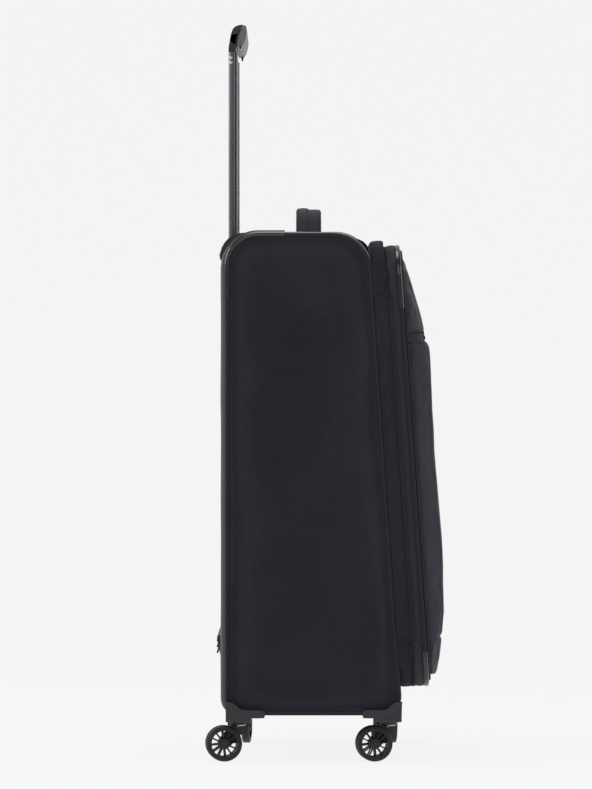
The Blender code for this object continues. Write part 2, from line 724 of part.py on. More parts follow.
def guard_shape(side, depth, faces_back):
    """Corner guard: a block under the case round the stem, and a skin up the side panel."""
    outer = CASE_WIDTH / 2 + 2 * PIPING_R + 2 * GAP + GUARD_SKIN
    half = GUARD_BLOCK / 2
    block_top = SHELL_BOTTOM - GAP
    near, far = sorted((side * (CASTER_TRACK / 2 - half), side * outer))
    block = prism(rectangle(near, -depth - half, far, -depth + half, 5 * MM), "Z", GUARD_LOW, block_top)
    item = node("guard", block, "moulding")
    heel = -depth + faces_back * half
    toe = heel - faces_back * GUARD_REACH
    level = 12 * MM
    skin = rounded([(heel, GUARD_LOW + 4 * MM, 0), (heel, GUARD_HIGH, 3 * MM),
                    (heel - faces_back * level, GUARD_HIGH, 3 * MM),
                    (heel - faces_back * 2.4 * level, GUARD_EDGE, 6 * MM),
                    (toe, GUARD_EDGE, 4 * MM), (toe, GUARD_LOW + 5.5 * MM, 2 * MM)])
    near, far = sorted((side * outer, side * (outer - GUARD_SKIN)))
    combine(item, prism(skin, "X", near, far), "UNION")
    bore = STEM_R + RUNNING_FIT
    low, high = GUARD_LOW - 1 * MM, GUARD_LOW + 8.4 * MM
    hole = turned([(low, 0), (low, bore), (high, bore), (high, 0)], "Z", (side * CASTER_TRACK / 2, -depth))
    combine(item, hole)
    return baked(item, "guard")


def fork_mesh():
    """Swivelling carrier: stem, collar and the web between the two wheels, with the axle's bore."""
    stem_top = GUARD_LOW + 7.8 * MM
    collar_top = GUARD_LOW - RUNNING_FIT
    profile = [(COLLAR_LOW, 0), (COLLAR_LOW, COLLAR_R - 1 * MM), (COLLAR_LOW + 1 * MM, COLLAR_R),
               (collar_top, COLLAR_R), (collar_top, STEM_R), (stem_top, STEM_R), (stem_top, 0)]
    item = node("fork", turned(profile, "Z"), "moulding")
    y, z, boss = CASTER_TRAIL, WHEEL_R, 6.5 * MM
    web = rounded([(-8 * MM, COLLAR_LOW + 1.5 * MM, 0), (10 * MM, COLLAR_LOW + 1.5 * MM, 0),
                   (y + boss, z + boss, 5 * MM), (y + boss, z - boss, 5 * MM), (y - boss, z - boss, 5 * MM),
                   (-8 * MM, COLLAR_LOW - 9 * MM, 5 * MM)])
    half = WHEEL_SPLIT / 2 - 0.5 * MM
    combine(item, prism(web, "X", -half, half), "UNION")
    bore = AXLE_R + RUNNING_FIT
    drill = [(-2 * half, 0), (-2 * half, bore), (2 * half, bore), (2 * half, 0)]
    combine(item, turned(drill, "X", (y, z), 16))
    return baked(item, "fork")


def tyre_mesh():
    """Tyre of one wheel, turned about the wheel's own axis."""
    inner, r = RIM_OF_WHEEL + GAP, WHEEL_R
    w = WHEEL_WIDTH / 2
    profile = [(-w, inner), (-w, r - 2 * MM), (-w + 2.4 * MM, r),
               (w - 2.4 * MM, r), (w, r - 2 * MM), (w, inner)]
    return baked(node("tyre", turned(profile, "X", steps=24, is_ring=True), "rubber"), "tyre")


def build_caster(name, x, depth, turn, hub, tyre, fork):
    """One caster: corner guard, swivelling carrier, axle and two wheels."""
    faces_back = 1 if depth < SHELL_FRONT_FOOT / 2 else -1
    copied(f"corner_guard_{name}", guard_shape(1 if x > 0 else -1, depth, faces_back), "moulding", None)
    swivel = empty(f"swivel_{name}", (x, -depth, 0), (0, 0, turn))
    copied(f"caster_fork_{name}", fork, "moulding", swivel)
    middle = WHEEL_SPLIT / 2 + WHEEL_WIDTH / 2
    out = middle + WHEEL_WIDTH / 2 + 0.3 * MM
    head = 1.4 * MM
    profile = [(-out - head, 0), (-out - head, AXLE_HEAD_R), (-out, AXLE_HEAD_R), (-out, AXLE_R),
               (out, AXLE_R), (out, AXLE_HEAD_R), (out + head, AXLE_HEAD_R), (out + head, 0)]
    axle = node(f"caster_axle_{name}", turned(profile, "X", steps=16), "steel", swivel)
    axle.location = (0, CASTER_TRAIL, WHEEL_R)
    for side, place in ((-1, "a"), (1, "b")):
        at = (side * middle, CASTER_TRAIL, WHEEL_R)
        copied(f"wheel_hub_{name}_{place}", hub, "moulding", swivel, at)
        copied(f"wheel_tyre_{name}_{place}", tyre, "rubber", swivel, at)


def build_casters():
    """The four casters; wheels a and b are those towards the swivel's own -X and +X."""
    half_hub = WHEEL_WIDTH / 2 - 0.4 * MM
    radii = (AXLE_R + RUNNING_FIT, WINDOW_IN, WINDOW_OUT, RIM_OF_WHEEL)
    hub = baked(node("hub", spoked_disc(radii, -half_hub, half_hub, SPOKES), "moulding"), "hub")
    tyre = tyre_mesh()
    fork = fork_mesh()
    for row, depth in (("back", CASTER_BACK), ("front", CASTER_FRONT)):
        for name, x in (("left", -CASTER_TRACK / 2), ("right", CASTER_TRACK / 2)):
            corner = f"{row}_{name}"
            build_caster(corner, x, depth, CASTER_TURNS[corner], hub, tyre, fork)


def centre_on_floor():
    """Move everything so that the middle of the whole object's box is over the origin."""
    bpy.context.view_layer.update()
    graph = bpy.context.evaluated_depsgraph_get()
    items = [item for item in bpy.context.scene.objects if item.type != "EMPTY" and not item.hide_render]
    points = []
    for item in items:
        mesh = item.evaluated_get(graph).to_mesh()
        points += [item.matrix_world @ vertex.co for vertex in mesh.vertices]
    shift = [-(min(p[axis] for p in points) + max(p[axis] for p in points)) / 2 for axis in range(2)]
    for item in bpy.context.scene.objects:
        if item.parent is None:
            item.location.x += shift[0]
            item.location.y += shift[1]
    bpy.context.view_layer.update()


def main():
    """Build the suitcase."""
    for item in list(bpy.data.objects):
        bpy.data.objects.remove(item, do_unlink=True)
    build_shell()
    build_grab_handle()
    build_skid()
    build_tubes()
    build_grip()
    build_bezel()
    build_lid(front_frame())
    build_casters()
    centre_on_floor()


main()
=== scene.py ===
"""Visual model of a softside upright suitcase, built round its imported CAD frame.

Metres, +Z up. The lid faces -Y and hinges along its -X edge; the near side panel is the one at -X.
"""

import json
import logging
from collections.abc import Callable, Sequence
from dataclasses import dataclass, field
from enum import Enum
from math import atan2, cos, pi, radians, sin, tan

import bmesh
import bpy
from mathutils import Matrix, Vector, noise


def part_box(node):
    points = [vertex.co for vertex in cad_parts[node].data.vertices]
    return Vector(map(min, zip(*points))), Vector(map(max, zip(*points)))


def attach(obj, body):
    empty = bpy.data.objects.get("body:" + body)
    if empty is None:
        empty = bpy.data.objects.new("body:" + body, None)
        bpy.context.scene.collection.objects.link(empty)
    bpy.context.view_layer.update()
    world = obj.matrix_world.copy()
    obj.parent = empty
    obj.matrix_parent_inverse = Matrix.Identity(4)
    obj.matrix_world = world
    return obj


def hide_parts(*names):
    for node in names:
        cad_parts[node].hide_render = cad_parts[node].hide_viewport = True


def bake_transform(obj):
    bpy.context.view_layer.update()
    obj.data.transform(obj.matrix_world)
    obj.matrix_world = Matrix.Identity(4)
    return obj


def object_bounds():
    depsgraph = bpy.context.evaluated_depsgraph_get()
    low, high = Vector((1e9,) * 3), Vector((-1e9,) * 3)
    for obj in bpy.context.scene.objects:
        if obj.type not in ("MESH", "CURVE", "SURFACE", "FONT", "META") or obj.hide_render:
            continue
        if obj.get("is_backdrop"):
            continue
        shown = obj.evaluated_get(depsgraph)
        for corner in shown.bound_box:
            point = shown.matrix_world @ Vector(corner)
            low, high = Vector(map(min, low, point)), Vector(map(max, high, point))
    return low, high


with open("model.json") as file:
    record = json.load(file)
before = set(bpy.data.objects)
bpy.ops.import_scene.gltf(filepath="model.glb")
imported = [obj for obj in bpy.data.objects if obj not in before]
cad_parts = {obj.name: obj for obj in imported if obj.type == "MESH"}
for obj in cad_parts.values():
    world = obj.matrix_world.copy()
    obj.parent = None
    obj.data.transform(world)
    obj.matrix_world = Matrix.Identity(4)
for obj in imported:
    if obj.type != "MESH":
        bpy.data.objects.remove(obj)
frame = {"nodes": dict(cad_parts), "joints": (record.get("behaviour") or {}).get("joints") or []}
CAD_BOX = [list(corner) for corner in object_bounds()]

LOG = logging.getLogger("suitcase")
MM = 0.001
E_BASE = 2.718  # of the curves that crowns and pressed seams fade out along
HEART = Vector((0, 0, 400 * MM))  # a point inside the case, that outer sheets face away from
Path = list[Vector]
Section = Sequence[tuple[float, float]]
Piece, Shape = bpy.types.Object, bmesh.types.BMesh
Socket, Tree = bpy.types.NodeSocket, bpy.types.NodeTree
X_AXIS, Y_AXIS, Z_AXIS = Vector((1, 0, 0)), Vector((0, 1, 0)), Vector((0, 0, 1))


class Side(Enum):
    """Which side of the case a piece is on; the value is the sign of its x."""

    LEFT = -1
    RIGHT = 1

    @property
    def word(self) -> str:
        """The side's name as the nodes spell it."""
        return self.name.lower()


# ---------------------------------------------------------------- finishes


class NodeGraph:
    """A material's node tree with short calls to add and join nodes."""

    def __init__(self, name: str) -> None:
        """Start a material of this name with an empty shader."""
        self.material = bpy.data.materials.new(name)
        self.material.use_nodes = True
        self.tree = self.material.node_tree
        self.shader = self.tree.nodes["Principled BSDF"]

    def add(self, kind: str, **values: object) -> bpy.types.Node:
        """Add a node.

        Args:
            kind: the node's Blender type.
            **values: its properties, and its inputs by name with _ for a space.

        Returns:
            The new node.
        """
        node = self.tree.nodes.new(kind)
        for key, value in values.items():
            if hasattr(node, key):
                setattr(node, key, value)
            else:
                node.inputs[key.replace("_", " ")].default_value = value
        return node

    def join(self, source: Socket, target: Socket) -> None:
        """Join an output to an input."""
        self.tree.links.new(source, target)

    def coordinates(self, scale: tuple[float, float, float] = (1, 1, 1)) -> Socket:
        """Object coordinates, scaled."""
        place = self.add("ShaderNodeTexCoord")
        mapping = self.add("ShaderNodeMapping")
        mapping.inputs["Scale"].default_value = scale
        self.join(place.outputs["Object"], mapping.inputs["Vector"])
        return mapping.outputs["Vector"]

    def noise(self, scale: float, detail: float, place: Socket) -> Socket:
        """Noise factor of a scale and detail at a place."""
        node = self.add("ShaderNodeTexNoise", Scale=scale, Detail=detail)
        self.join(place, node.inputs["Vector"])
        return node.outputs["Fac"]

    def maths(self, operation: str, a: Socket, b: Socket | float) -> Socket:
        """Result of an operation on two values."""
        node = self.add("ShaderNodeMath", operation=operation)
        self.join(a, node.inputs[0])
        if isinstance(b, (int, float)):
            node.inputs[1].default_value = b
        else:
            self.join(b, node.inputs[1])
        return node.outputs[0]

    def ramp(self, value: Socket, low: float, high: float, to: tuple[float, float]) -> Socket:
        """Value moved from the range low to high to another range, and held inside it."""
        node = self.add("ShaderNodeMapRange")
        for name, number in (("From Min", low), ("From Max", high), ("To Min", to[0]), ("To Max", to[1])):
            node.inputs[name].default_value = number
        self.join(value, node.inputs["Value"])
        return node.outputs["Result"]

    def tint(self, factor: Socket, dark: tuple[float, ...], pale: tuple[float, ...]) -> None:
        """Mix two colours by a factor into the base colour."""
        mix = self.add("ShaderNodeMix", data_type="RGBA")
        colour_a = next(i for i in mix.inputs if i.type == "RGBA" and i.name == "A")
        colour_b = next(i for i in mix.inputs if i.type == "RGBA" and i.name == "B")
        colour_a.default_value, colour_b.default_value = (*dark, 1), (*pale, 1)
        self.join(factor, mix.inputs[0])
        result = next(o for o in mix.outputs if o.type == "RGBA")
        self.join(result, self.shader.inputs["Base Color"])

    def bump(self, height: Socket, distance: float, strength: float) -> None:
        """Raise the surface by a height."""
        node = self.add("ShaderNodeBump")
        node.inputs["Strength"].default_value = strength
        node.inputs["Distance"].default_value = distance
        self.join(height, node.inputs["Height"])
        self.join(node.outputs["Normal"], self.shader.inputs["Normal"])


def shifted(colour: tuple[float, ...], factor: float) -> tuple[float, ...]:
    """A colour made lighter or darker by a factor."""
    return tuple(min(1.0, part * factor) for part in colour)


@dataclass(frozen=True)
class Fabric:
    """Woven polyester: threads along all three axes, cloudy shade and a little sheen."""

    name: str
    colour: tuple[float, float, float]
    thread: float = 0.9 * MM
    contrast: float = 0.35
    relief: float = 0.16 * MM
    roughness: float = 0.82
    sheen: float = 0.12
    gloss: float = 0.2
    slot: str = "shell_fabric"

    def build(self) -> bpy.types.Material:
        """Make the material."""
        graph = NodeGraph(self.name)
        place = graph.coordinates()
        waves = []
        for axis in "XYZ":
            wave = graph.add("ShaderNodeTexWave", wave_type="BANDS", bands_direction=axis)
            wave.inputs["Scale"].default_value = 0.314 / self.thread
            wave.inputs["Distortion"].default_value = 2.2
            wave.inputs["Detail"].default_value = 1.0
            graph.join(place, wave.inputs["Vector"])
            waves.append(wave.outputs["Fac"])
        weave = graph.maths("ADD", graph.maths("ADD", waves[0], waves[1]), waves[2])
        fuzz = graph.noise(1.1 / self.thread, 2.0, place)
        height = graph.maths("ADD", graph.maths("MULTIPLY", weave, 0.33), graph.maths("MULTIPLY", fuzz, 0.5))
        cloud = graph.noise(9.0, 3.0, place)
        shade = graph.maths("ADD", graph.ramp(height, 0.3, 1.0, (0.0, 0.75)),
                            graph.ramp(cloud, 0.3, 0.7, (0.0, 0.25)))
        graph.tint(shade, shifted(self.colour, 1 - self.contrast), shifted(self.colour, 1 + self.contrast))
        graph.bump(height, self.relief, 0.7)
        graph.shader.inputs["Roughness"].default_value = self.roughness
        graph.shader.inputs["Sheen Weight"].default_value = self.sheen
        graph.shader.inputs["Sheen Roughness"].default_value = 0.5
        graph.shader.inputs["Specular IOR Level"].default_value = self.gloss
        return graph.material


@dataclass(frozen=True)
class Moulding:
    """Moulded plastic: fine spark-eroded grain, slight waviness and scuffed, uneven gloss."""

    name: str
    colour: tuple[float, float, float]
    roughness: float = 0.5
    grain: float = 0.5 * MM
    relief: float = 0.03 * MM
    coat: float = 0.0
    slot: str = "moulding"

    def build(self) -> bpy.types.Material:
        """Make the material."""
        graph = NodeGraph(self.name)
        place = graph.coordinates()
        grain = graph.noise(1.0 / self.grain, 2.0, place)
        cloud = graph.noise(35.0, 4.0, place)
        graph.tint(cloud, shifted(self.colour, 0.85), shifted(self.colour, 1.18))
        spread = graph.ramp(cloud, 0.3, 0.7, (self.roughness * 0.85, min(1.0, self.roughness * 1.15)))
        graph.join(spread, graph.shader.inputs["Roughness"])
        graph.bump(grain, self.relief, 0.5)
        graph.shader.inputs["Coat Weight"].default_value = self.coat
        graph.shader.inputs["Coat Roughness"].default_value = 0.12
        return graph.material


@dataclass(frozen=True)
class Metal:
    """Drawn metal: fine lines along one axis and soft unevenness of its gloss."""

    name: str
    colour: tuple[float, float, float]
    roughness: float = 0.3
    metallic: float = 1.0
    stretch: tuple[float, float, float] = (1.0, 1.0, 0.02)
    slot: str = "tube_metal"

    def build(self) -> bpy.types.Material:
        """Make the material."""
        graph = NodeGraph(self.name)
        lines = graph.noise(1800.0, 2.0, graph.coordinates(self.stretch))
        cloud = graph.noise(20.0, 3.0, graph.coordinates())
        graph.tint(lines, shifted(self.colour, 0.85), shifted(self.colour, 1.15))
        mixed = graph.maths("ADD", graph.maths("MULTIPLY", lines, 0.7), graph.maths("MULTIPLY", cloud, 0.3))
        spread = graph.ramp(mixed, 0.3, 0.7, (self.roughness * 0.8, self.roughness * 1.25))
        graph.join(spread, graph.shader.inputs["Roughness"])
        graph.bump(lines, 0.01 * MM, 0.4)
        graph.shader.inputs["Metallic"].default_value = self.metallic
        return graph.material


@dataclass(frozen=True)
class Mesh:
    """Open knitted net, drawn as a close honeycomb of dark holes in a paler thread."""

    name: str
    colour: tuple[float, float, float]
    cell: float = 2.2 * MM
    slot: str = "pocket_fabric"

    def build(self) -> bpy.types.Material:
        """Make the material."""
        graph = NodeGraph(self.name)
        cells = graph.add("ShaderNodeTexVoronoi", feature="DISTANCE_TO_EDGE")
        cells.inputs["Scale"].default_value = 1.0 / self.cell
        cells.inputs["Randomness"].default_value = 0.15
        graph.join(graph.coordinates(), cells.inputs["Vector"])
        thread = graph.ramp(cells.outputs["Distance"], 0.08, 0.2, (1.0, 0.0))
        graph.tint(thread, shifted(self.colour, 0.25), self.colour)
        graph.bump(thread, 0.3 * MM, 0.8)
        graph.shader.inputs["Roughness"].default_value = 0.8
        return graph.material


class Wardrobe:
    """All finishes of the suitcase, each built once."""

    side = Fabric("side_weave", (0.0222, 0.0203, 0.0278), contrast=0.5, sheen=0.04, gloss=0.1)
    strip = Fabric("strip_weave", (0.0200, 0.0184, 0.0247), thread=0.8 * MM, sheen=0.05, gloss=0.12)
    band = Fabric("band_weave", (0.058, 0.053, 0.068), sheen=0.3)
    lid = Fabric("lid_weave", (0.0280, 0.0250, 0.0310), sheen=0.1)
    pocket = Fabric("pocket_weave", (0.0350, 0.0322, 0.0420), slot="pocket_fabric", sheen=0.2)
    webbing = Fabric("webbing_weave", (0.044, 0.042, 0.053), thread=1.4 * MM, relief=0.3 * MM,
                     slot="pocket_fabric")
    binding = Fabric("binding_weave", (0.016, 0.015, 0.0195), thread=0.6 * MM, slot="piping_trim")
    thread = Fabric("sewing_thread", (0.019, 0.018, 0.023), thread=0.4 * MM, slot="piping_trim")
    tape = Fabric("zipper_tape", (0.015, 0.0145, 0.018), thread=0.5 * MM, slot="piping_trim")
    lining = Fabric("lining_weave", (0.16, 0.155, 0.17), thread=0.5 * MM, contrast=0.15, relief=0.06 * MM)
    net = Mesh("pocket_net", (0.09, 0.088, 0.1))
    gloss_binding = Moulding("gloss_binding", (0.008, 0.0075, 0.009), 0.25, 0.9 * MM, 0.05 * MM, 0.3,
                             "gloss_moulding")
    teeth = Moulding("zipper_coil", (0.018, 0.017, 0.020), 0.35, slot="piping_trim")
    moulding = Moulding("guard_moulding", (0.0190, 0.0176, 0.0212), 0.5, 0.6 * MM, 0.06 * MM)
    wheel = Moulding("wheel_moulding", (0.0078, 0.0072, 0.0087), 0.45)
    gloss = Moulding("grip_gloss", (0.007, 0.006, 0.008), 0.16, 1.5 * MM, 0.004 * MM, 0.4, "gloss_moulding")
    grip = Moulding("grip_satin", (0.115, 0.106, 0.122), 0.45, 0.4 * MM, slot="grip_moulding")
    tyre = Moulding("tyre_tread", (0.0075, 0.0070, 0.0082), 0.6, 0.4 * MM, 0.05 * MM, slot="tyre")
    tube = Metal("tube_metal", (0.13, 0.125, 0.135), 0.3, 0.9)
    steel = Metal("dark_steel", (0.34, 0.33, 0.35), 0.28, 1.0, (1, 1, 1), "steel")
    bright = Metal("bright_steel", (0.62, 0.61, 0.62), 0.2, 1.0, (1, 1, 1), "steel")

    def __init__(self) -> None:
        """Build nothing yet."""
        self._built: dict[str, bpy.types.Material] = {}

    def material(self, finish: "Finish") -> bpy.types.Material:
        """The material of a finish."""
        if finish.name not in self._built:
            self._built[finish.name] = finish.build()
        return self._built[finish.name]


Finish = Fabric | Moulding | Metal | Mesh
WARDROBE = Wardrobe()


# ---------------------------------------------------------------- outlines and meshes


def turn_of(start: Vector, end: Vector) -> float:
    """Signed angle from one two-dimensional direction to another."""
    return (atan2(end.y, end.x) - atan2(start.y, start.x) + pi) % (2 * pi) - pi


def rounded(corners: Sequence[tuple[float, float, float]], arc: int = 8,
            spans: Sequence[int] | None = None, is_open: bool = False) -> Path:
    """Two-dimensional outline through rounded corners.

    Args:
        corners: each corner's place and radius, in order.
        arc: edges in each rounded corner.
        spans: edges in each straight stretch, the one after corner i at place i; one each if left out.
        is_open: leave the outline open, with its first and last corners sharp.

    Returns:
        Its points in order, as many for any corners of one count.
    """
    places = [Vector(corner[:2]) for corner in corners]
    count = len(places)
    arcs: list[Path] = []
    for index, (place, corner) in enumerate(zip(places, corners)):
        if corner[2] <= 0 or (is_open and index in (0, count - 1)):
            arcs.append([place])
            continue
        before = (places[index - 1] - place).normalized()
        after = (places[(index + 1) % count] - place).normalized()
        half = before.angle(after) / 2
        centre = place + (before + after).normalized() * (corner[2] / sin(half))
        first = place + before * (corner[2] / tan(half)) - centre
        last = place + after * (corner[2] / tan(half)) - centre
        sweep = turn_of(first, last)
        arcs.append([centre + Matrix.Rotation(sweep * step / arc, 2) @ first for step in range(arc + 1)])
    points: Path = []
    for index in range(count):
        points += arcs[index]
        if is_open and index == count - 1:
            break
        start, end = arcs[index][-1], arcs[(index + 1) % count][0]
        edges = spans[index] if spans else 1
        points += [start.lerp(end, step / edges) for step in range(1, edges)]
    return points


def span_counts(lengths: Sequence[float], edge: float) -> list[int]:
    """How many edges of about one length fit in each stretch."""
    return [max(1, round(length / edge)) for length in lengths]


def lay(points: Path, place: Callable[[float, float], Vector]) -> Path:
    """A two-dimensional outline put into space by a function of its two coordinates."""
    return [place(point.x, point.y) for point in points]


def rectangle(a0: float, b0: float, a1: float, b1: float,
              radius: float = 0.0) -> list[tuple[float, float, float]]:
    """Corners of a rectangle between two of them, for rounded()."""
    return [(a0, b0, radius), (a1, b0, radius), (a1, b1, radius), (a0, b1, radius)]


def in_mm(points: Section) -> list[tuple[float, float]]:
    """Points given in millimetres, in metres."""
    return [(a * MM, b * MM) for a, b in points]


def face_outwards(shape: Shape, centre: Vector | None) -> None:
    """Turn faces outwards: a closed shape by its volume, an open sheet away from a centre."""
    bmesh.ops.recalc_face_normals(shape, faces=shape.faces)
    if centre is None:
        inside_out = shape.calc_volume(signed=True) < 0
    else:
        outwards = (f.normal.dot(f.calc_center_median() - centre) * f.calc_area() for f in shape.faces)
        inside_out = sum(outwards) < 0
    if inside_out:
        bmesh.ops.reverse_faces(shape, faces=shape.faces)


def as_piece(name: str, shape: Shape, finish: Finish, centre: Vector | None = None,
             crease: float = 35.0) -> Piece:
    """Object made from a bmesh, with its finish and smooth shading.

    Args:
        name: the piece's name.
        shape: its faces; freed here.
        finish: its finish.
        centre: a point behind an open sheet; none for a closed shape.
        crease: angle in degrees past which an edge stays sharp.

    Returns:
        The new object, at the origin.
    """
    bmesh.ops.remove_doubles(shape, verts=shape.verts, dist=1e-6)
    face_outwards(shape, centre)
    data = bpy.data.meshes.new(name)
    shape.to_mesh(data)
    shape.free()
    data.shade_smooth()
    data.set_sharp_from_angle(angle=radians(crease))
    piece = bpy.data.objects.new(name, data)
    bpy.context.scene.collection.objects.link(piece)
    data.materials.append(WARDROBE.material(finish))
    return piece


def lofted(rows: Sequence[Path], is_tube: bool = True, is_ring: bool = False, caps: bool = False) -> Shape:
    """Faces between rows of points.

    Args:
        rows: rows with as many points each.
        is_tube: join each row's last point to its first.
        is_ring: join the last row to the first.
        caps: close the first and last rows with a face.

    Returns:
        The new shape.
    """
    shape = bmesh.new()
    grid = [[shape.verts.new(point) for point in row] for row in rows]
    pairs = list(zip(grid, grid[1:])) + ([(grid[-1], grid[0])] if is_ring else [])
    width = len(grid[0])
    for first, second in pairs:
        for i in range(width if is_tube else width - 1):
            j = (i + 1) % width
            shape.faces.new([first[i], first[j], second[j], second[i]])
    if caps:
        shape.faces.new(grid[0])
        shape.faces.new(grid[-1][::-1])
    return shape


def swept_rows(path: Path, section: Section | Callable[[int], Section], normal: Vector,
               is_closed: bool) -> list[Path]:
    """Rows of a section carried along a path that lies in a plane.

    Args:
        path: the path's points.
        section: points (across, along the normal), or a function that gives them for a point's number.
        normal: the plane's normal; across points to the right of the path, seen from its tip.
        is_closed: whether the path's last point is followed by its first.

    Returns:
        One row for each point of the path.
    """
    rows = []
    last = len(path) - 1
    for index, point in enumerate(path):
        ahead = path[(index + 1) % len(path)] if is_closed or index < last else point
        behind = path[index - 1] if is_closed or index > 0 else point
        forwards = (ahead - point).normalized()
        backwards = (point - behind).normalized()
        tangent = (forwards + backwards).normalized()
        across = tangent.cross(normal).normalized()
        reach = 1.0
        if forwards.length > 0 and backwards.length > 0:
            reach = 1 / max(0.5, across.dot(forwards.cross(normal).normalized()))
        shape = section(index) if callable(section) else section
        rows.append([point + across * (a * reach) + normal * b for a, b in shape])
    return rows


def swept(path: Path, section: Section | Callable[[int], Section], normal: Vector,
          is_closed: bool = True) -> Shape:
    """Closed solid of a section carried along a path in a plane; see swept_rows."""
    return lofted(swept_rows(path, section, normal, is_closed), True, is_closed, not is_closed)


def round_section(radius: float, count: int = 12) -> Section:
    """Round section."""
    turns = [2 * pi * step / count for step in range(count)]
    return [(radius * cos(turn), radius * sin(turn)) for turn in turns]


def box_section(a0: float, b0: float, a1: float, b1: float, radius: float) -> Section:
    """Rounded rectangular section between two corners, all in millimetres."""
    return [tuple(point) for point in rounded(rectangle(a0 * MM, b0 * MM, a1 * MM, b1 * MM, radius * MM), 3)]


def turned(profile: Section, centre: Vector, axis: Vector, steps: int = 48, is_ring: bool = False) -> Shape:
    """Profile (along, radius) turned about an axis; a ring's profile is a closed loop."""
    side = axis.orthogonal().normalized()
    up = axis.cross(side)
    rows = []
    for step in range(steps):
        turn = 2 * pi * step / steps
        out = side * cos(turn) + up * sin(turn)
        rows.append([centre + axis * along + out * radius for along, radius in profile])
    return lofted(rows, is_ring, True)


def plate(outline: Path, place: Callable[[float, float, float], Vector], low: float, high: float) -> Shape:
    """Closed slab of an outline between two heights, placed by a function of a, b and height."""
    rows = [[place(point.x, point.y, height) for point in outline] for height in (low, high)]
    return lofted(rows, True, False, True)


def cut_with(piece: Piece, tool: Piece) -> Piece:
    """Cut a tool out of a piece and remove the tool."""
    modifier = piece.modifiers.new("cut", "BOOLEAN")
    modifier.object, modifier.operation = tool, "DIFFERENCE"
    settled(piece)
    bpy.data.objects.remove(tool, do_unlink=True)
    return piece


def soften(piece: Piece, width: float, segments: int = 3) -> Piece:
    """Round a piece's sharp edges and apply that to its mesh."""
    modifier = piece.modifiers.new("round", "BEVEL")
    modifier.width, modifier.segments = width, segments
    modifier.limit_method, modifier.angle_limit = "ANGLE", radians(32)
    modifier.harden_normals = False
    return settled(piece)


def thicken(piece: Piece, depth: float) -> Piece:
    """Give a sheet a thickness inwards and apply it to its mesh."""
    modifier = piece.modifiers.new("thickness", "SOLIDIFY")
    modifier.thickness, modifier.offset = depth, -1.0
    return settled(piece)


def subdivide(piece: Piece, levels: int = 1) -> Piece:
    """Smooth a piece by subdivision and apply it to its mesh."""
    modifier = piece.modifiers.new("smooth", "SUBSURF")
    modifier.levels = modifier.render_levels = levels
    return settled(piece)


def settled(piece: Piece) -> Piece:
    """Replace a piece's mesh by what its modifiers make of it, and remove them."""
    bpy.context.view_layer.update()
    data = bpy.data.meshes.new_from_object(piece.evaluated_get(bpy.context.evaluated_depsgraph_get()))
    data.name = piece.name
    piece.modifiers.clear()
    piece.data = data
    return piece


def repaint(piece: Piece, finish: Finish) -> Piece:
    """Give all of a piece's faces one finish."""
    piece.data.materials.clear()
    piece.data.materials.append(WARDROBE.material(finish))
    piece.data.polygons.foreach_set("material_index", [0] * len(piece.data.polygons))
    return piece


def crumple(piece: Piece, amount: float, size: float, seed: float = 0.0,
            weight: Callable[[Vector], float] = lambda _: 1.0) -> Piece:
    """Push a soft piece's points in and out along their normals by smooth noise.

    Args:
        piece: the piece.
        amount: the furthest that a point moves.
        size: how far apart the folds lie.
        seed: moves the pattern.
        weight: share of the amount at a place.

    Returns:
        The same piece.
    """
    offset = Vector((seed, seed * 1.7, -seed))
    verts = piece.data.vertices
    moves = [v.normal * (amount * weight(v.co) * noise.noise(v.co / size + offset)) for v in verts]
    for vertex, move in zip(verts, moves):
        vertex.co += move
    return piece


def joined(name: str, parts: Sequence[Piece]) -> Piece:
    """One object from several, which keeps each one's material."""
    shape = bmesh.new()
    materials: list[bpy.types.Material] = []
    for part in parts:
        material = part.data.materials[0]
        if material not in materials:
            materials.append(material)
        start = len(shape.faces)
        shape.from_mesh(part.data)
        shape.faces.ensure_lookup_table()
        for face in shape.faces[start:]:
            face.material_index = materials.index(material)
        bpy.data.objects.remove(part, do_unlink=True)
    data = bpy.data.meshes.new(name)
    shape.to_mesh(data)
    shape.free()
    for material in materials:
        data.materials.append(material)
    piece = bpy.data.objects.new(name, data)
    bpy.context.scene.collection.objects.link(piece)
    return piece


def fit(piece: Piece, body: str, slot: str, *nodes: str) -> Piece:
    """Let a finished piece ride on a body and hide the CAD nodes it stands for; its slot is not used."""
    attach(piece, body)
    if nodes:
        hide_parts(*nodes)
    LOG.info("%s: %d faces on %s", piece.name, len(piece.data.polygons), body)
    return piece


# ---------------------------------------------------------------- repeats along a path


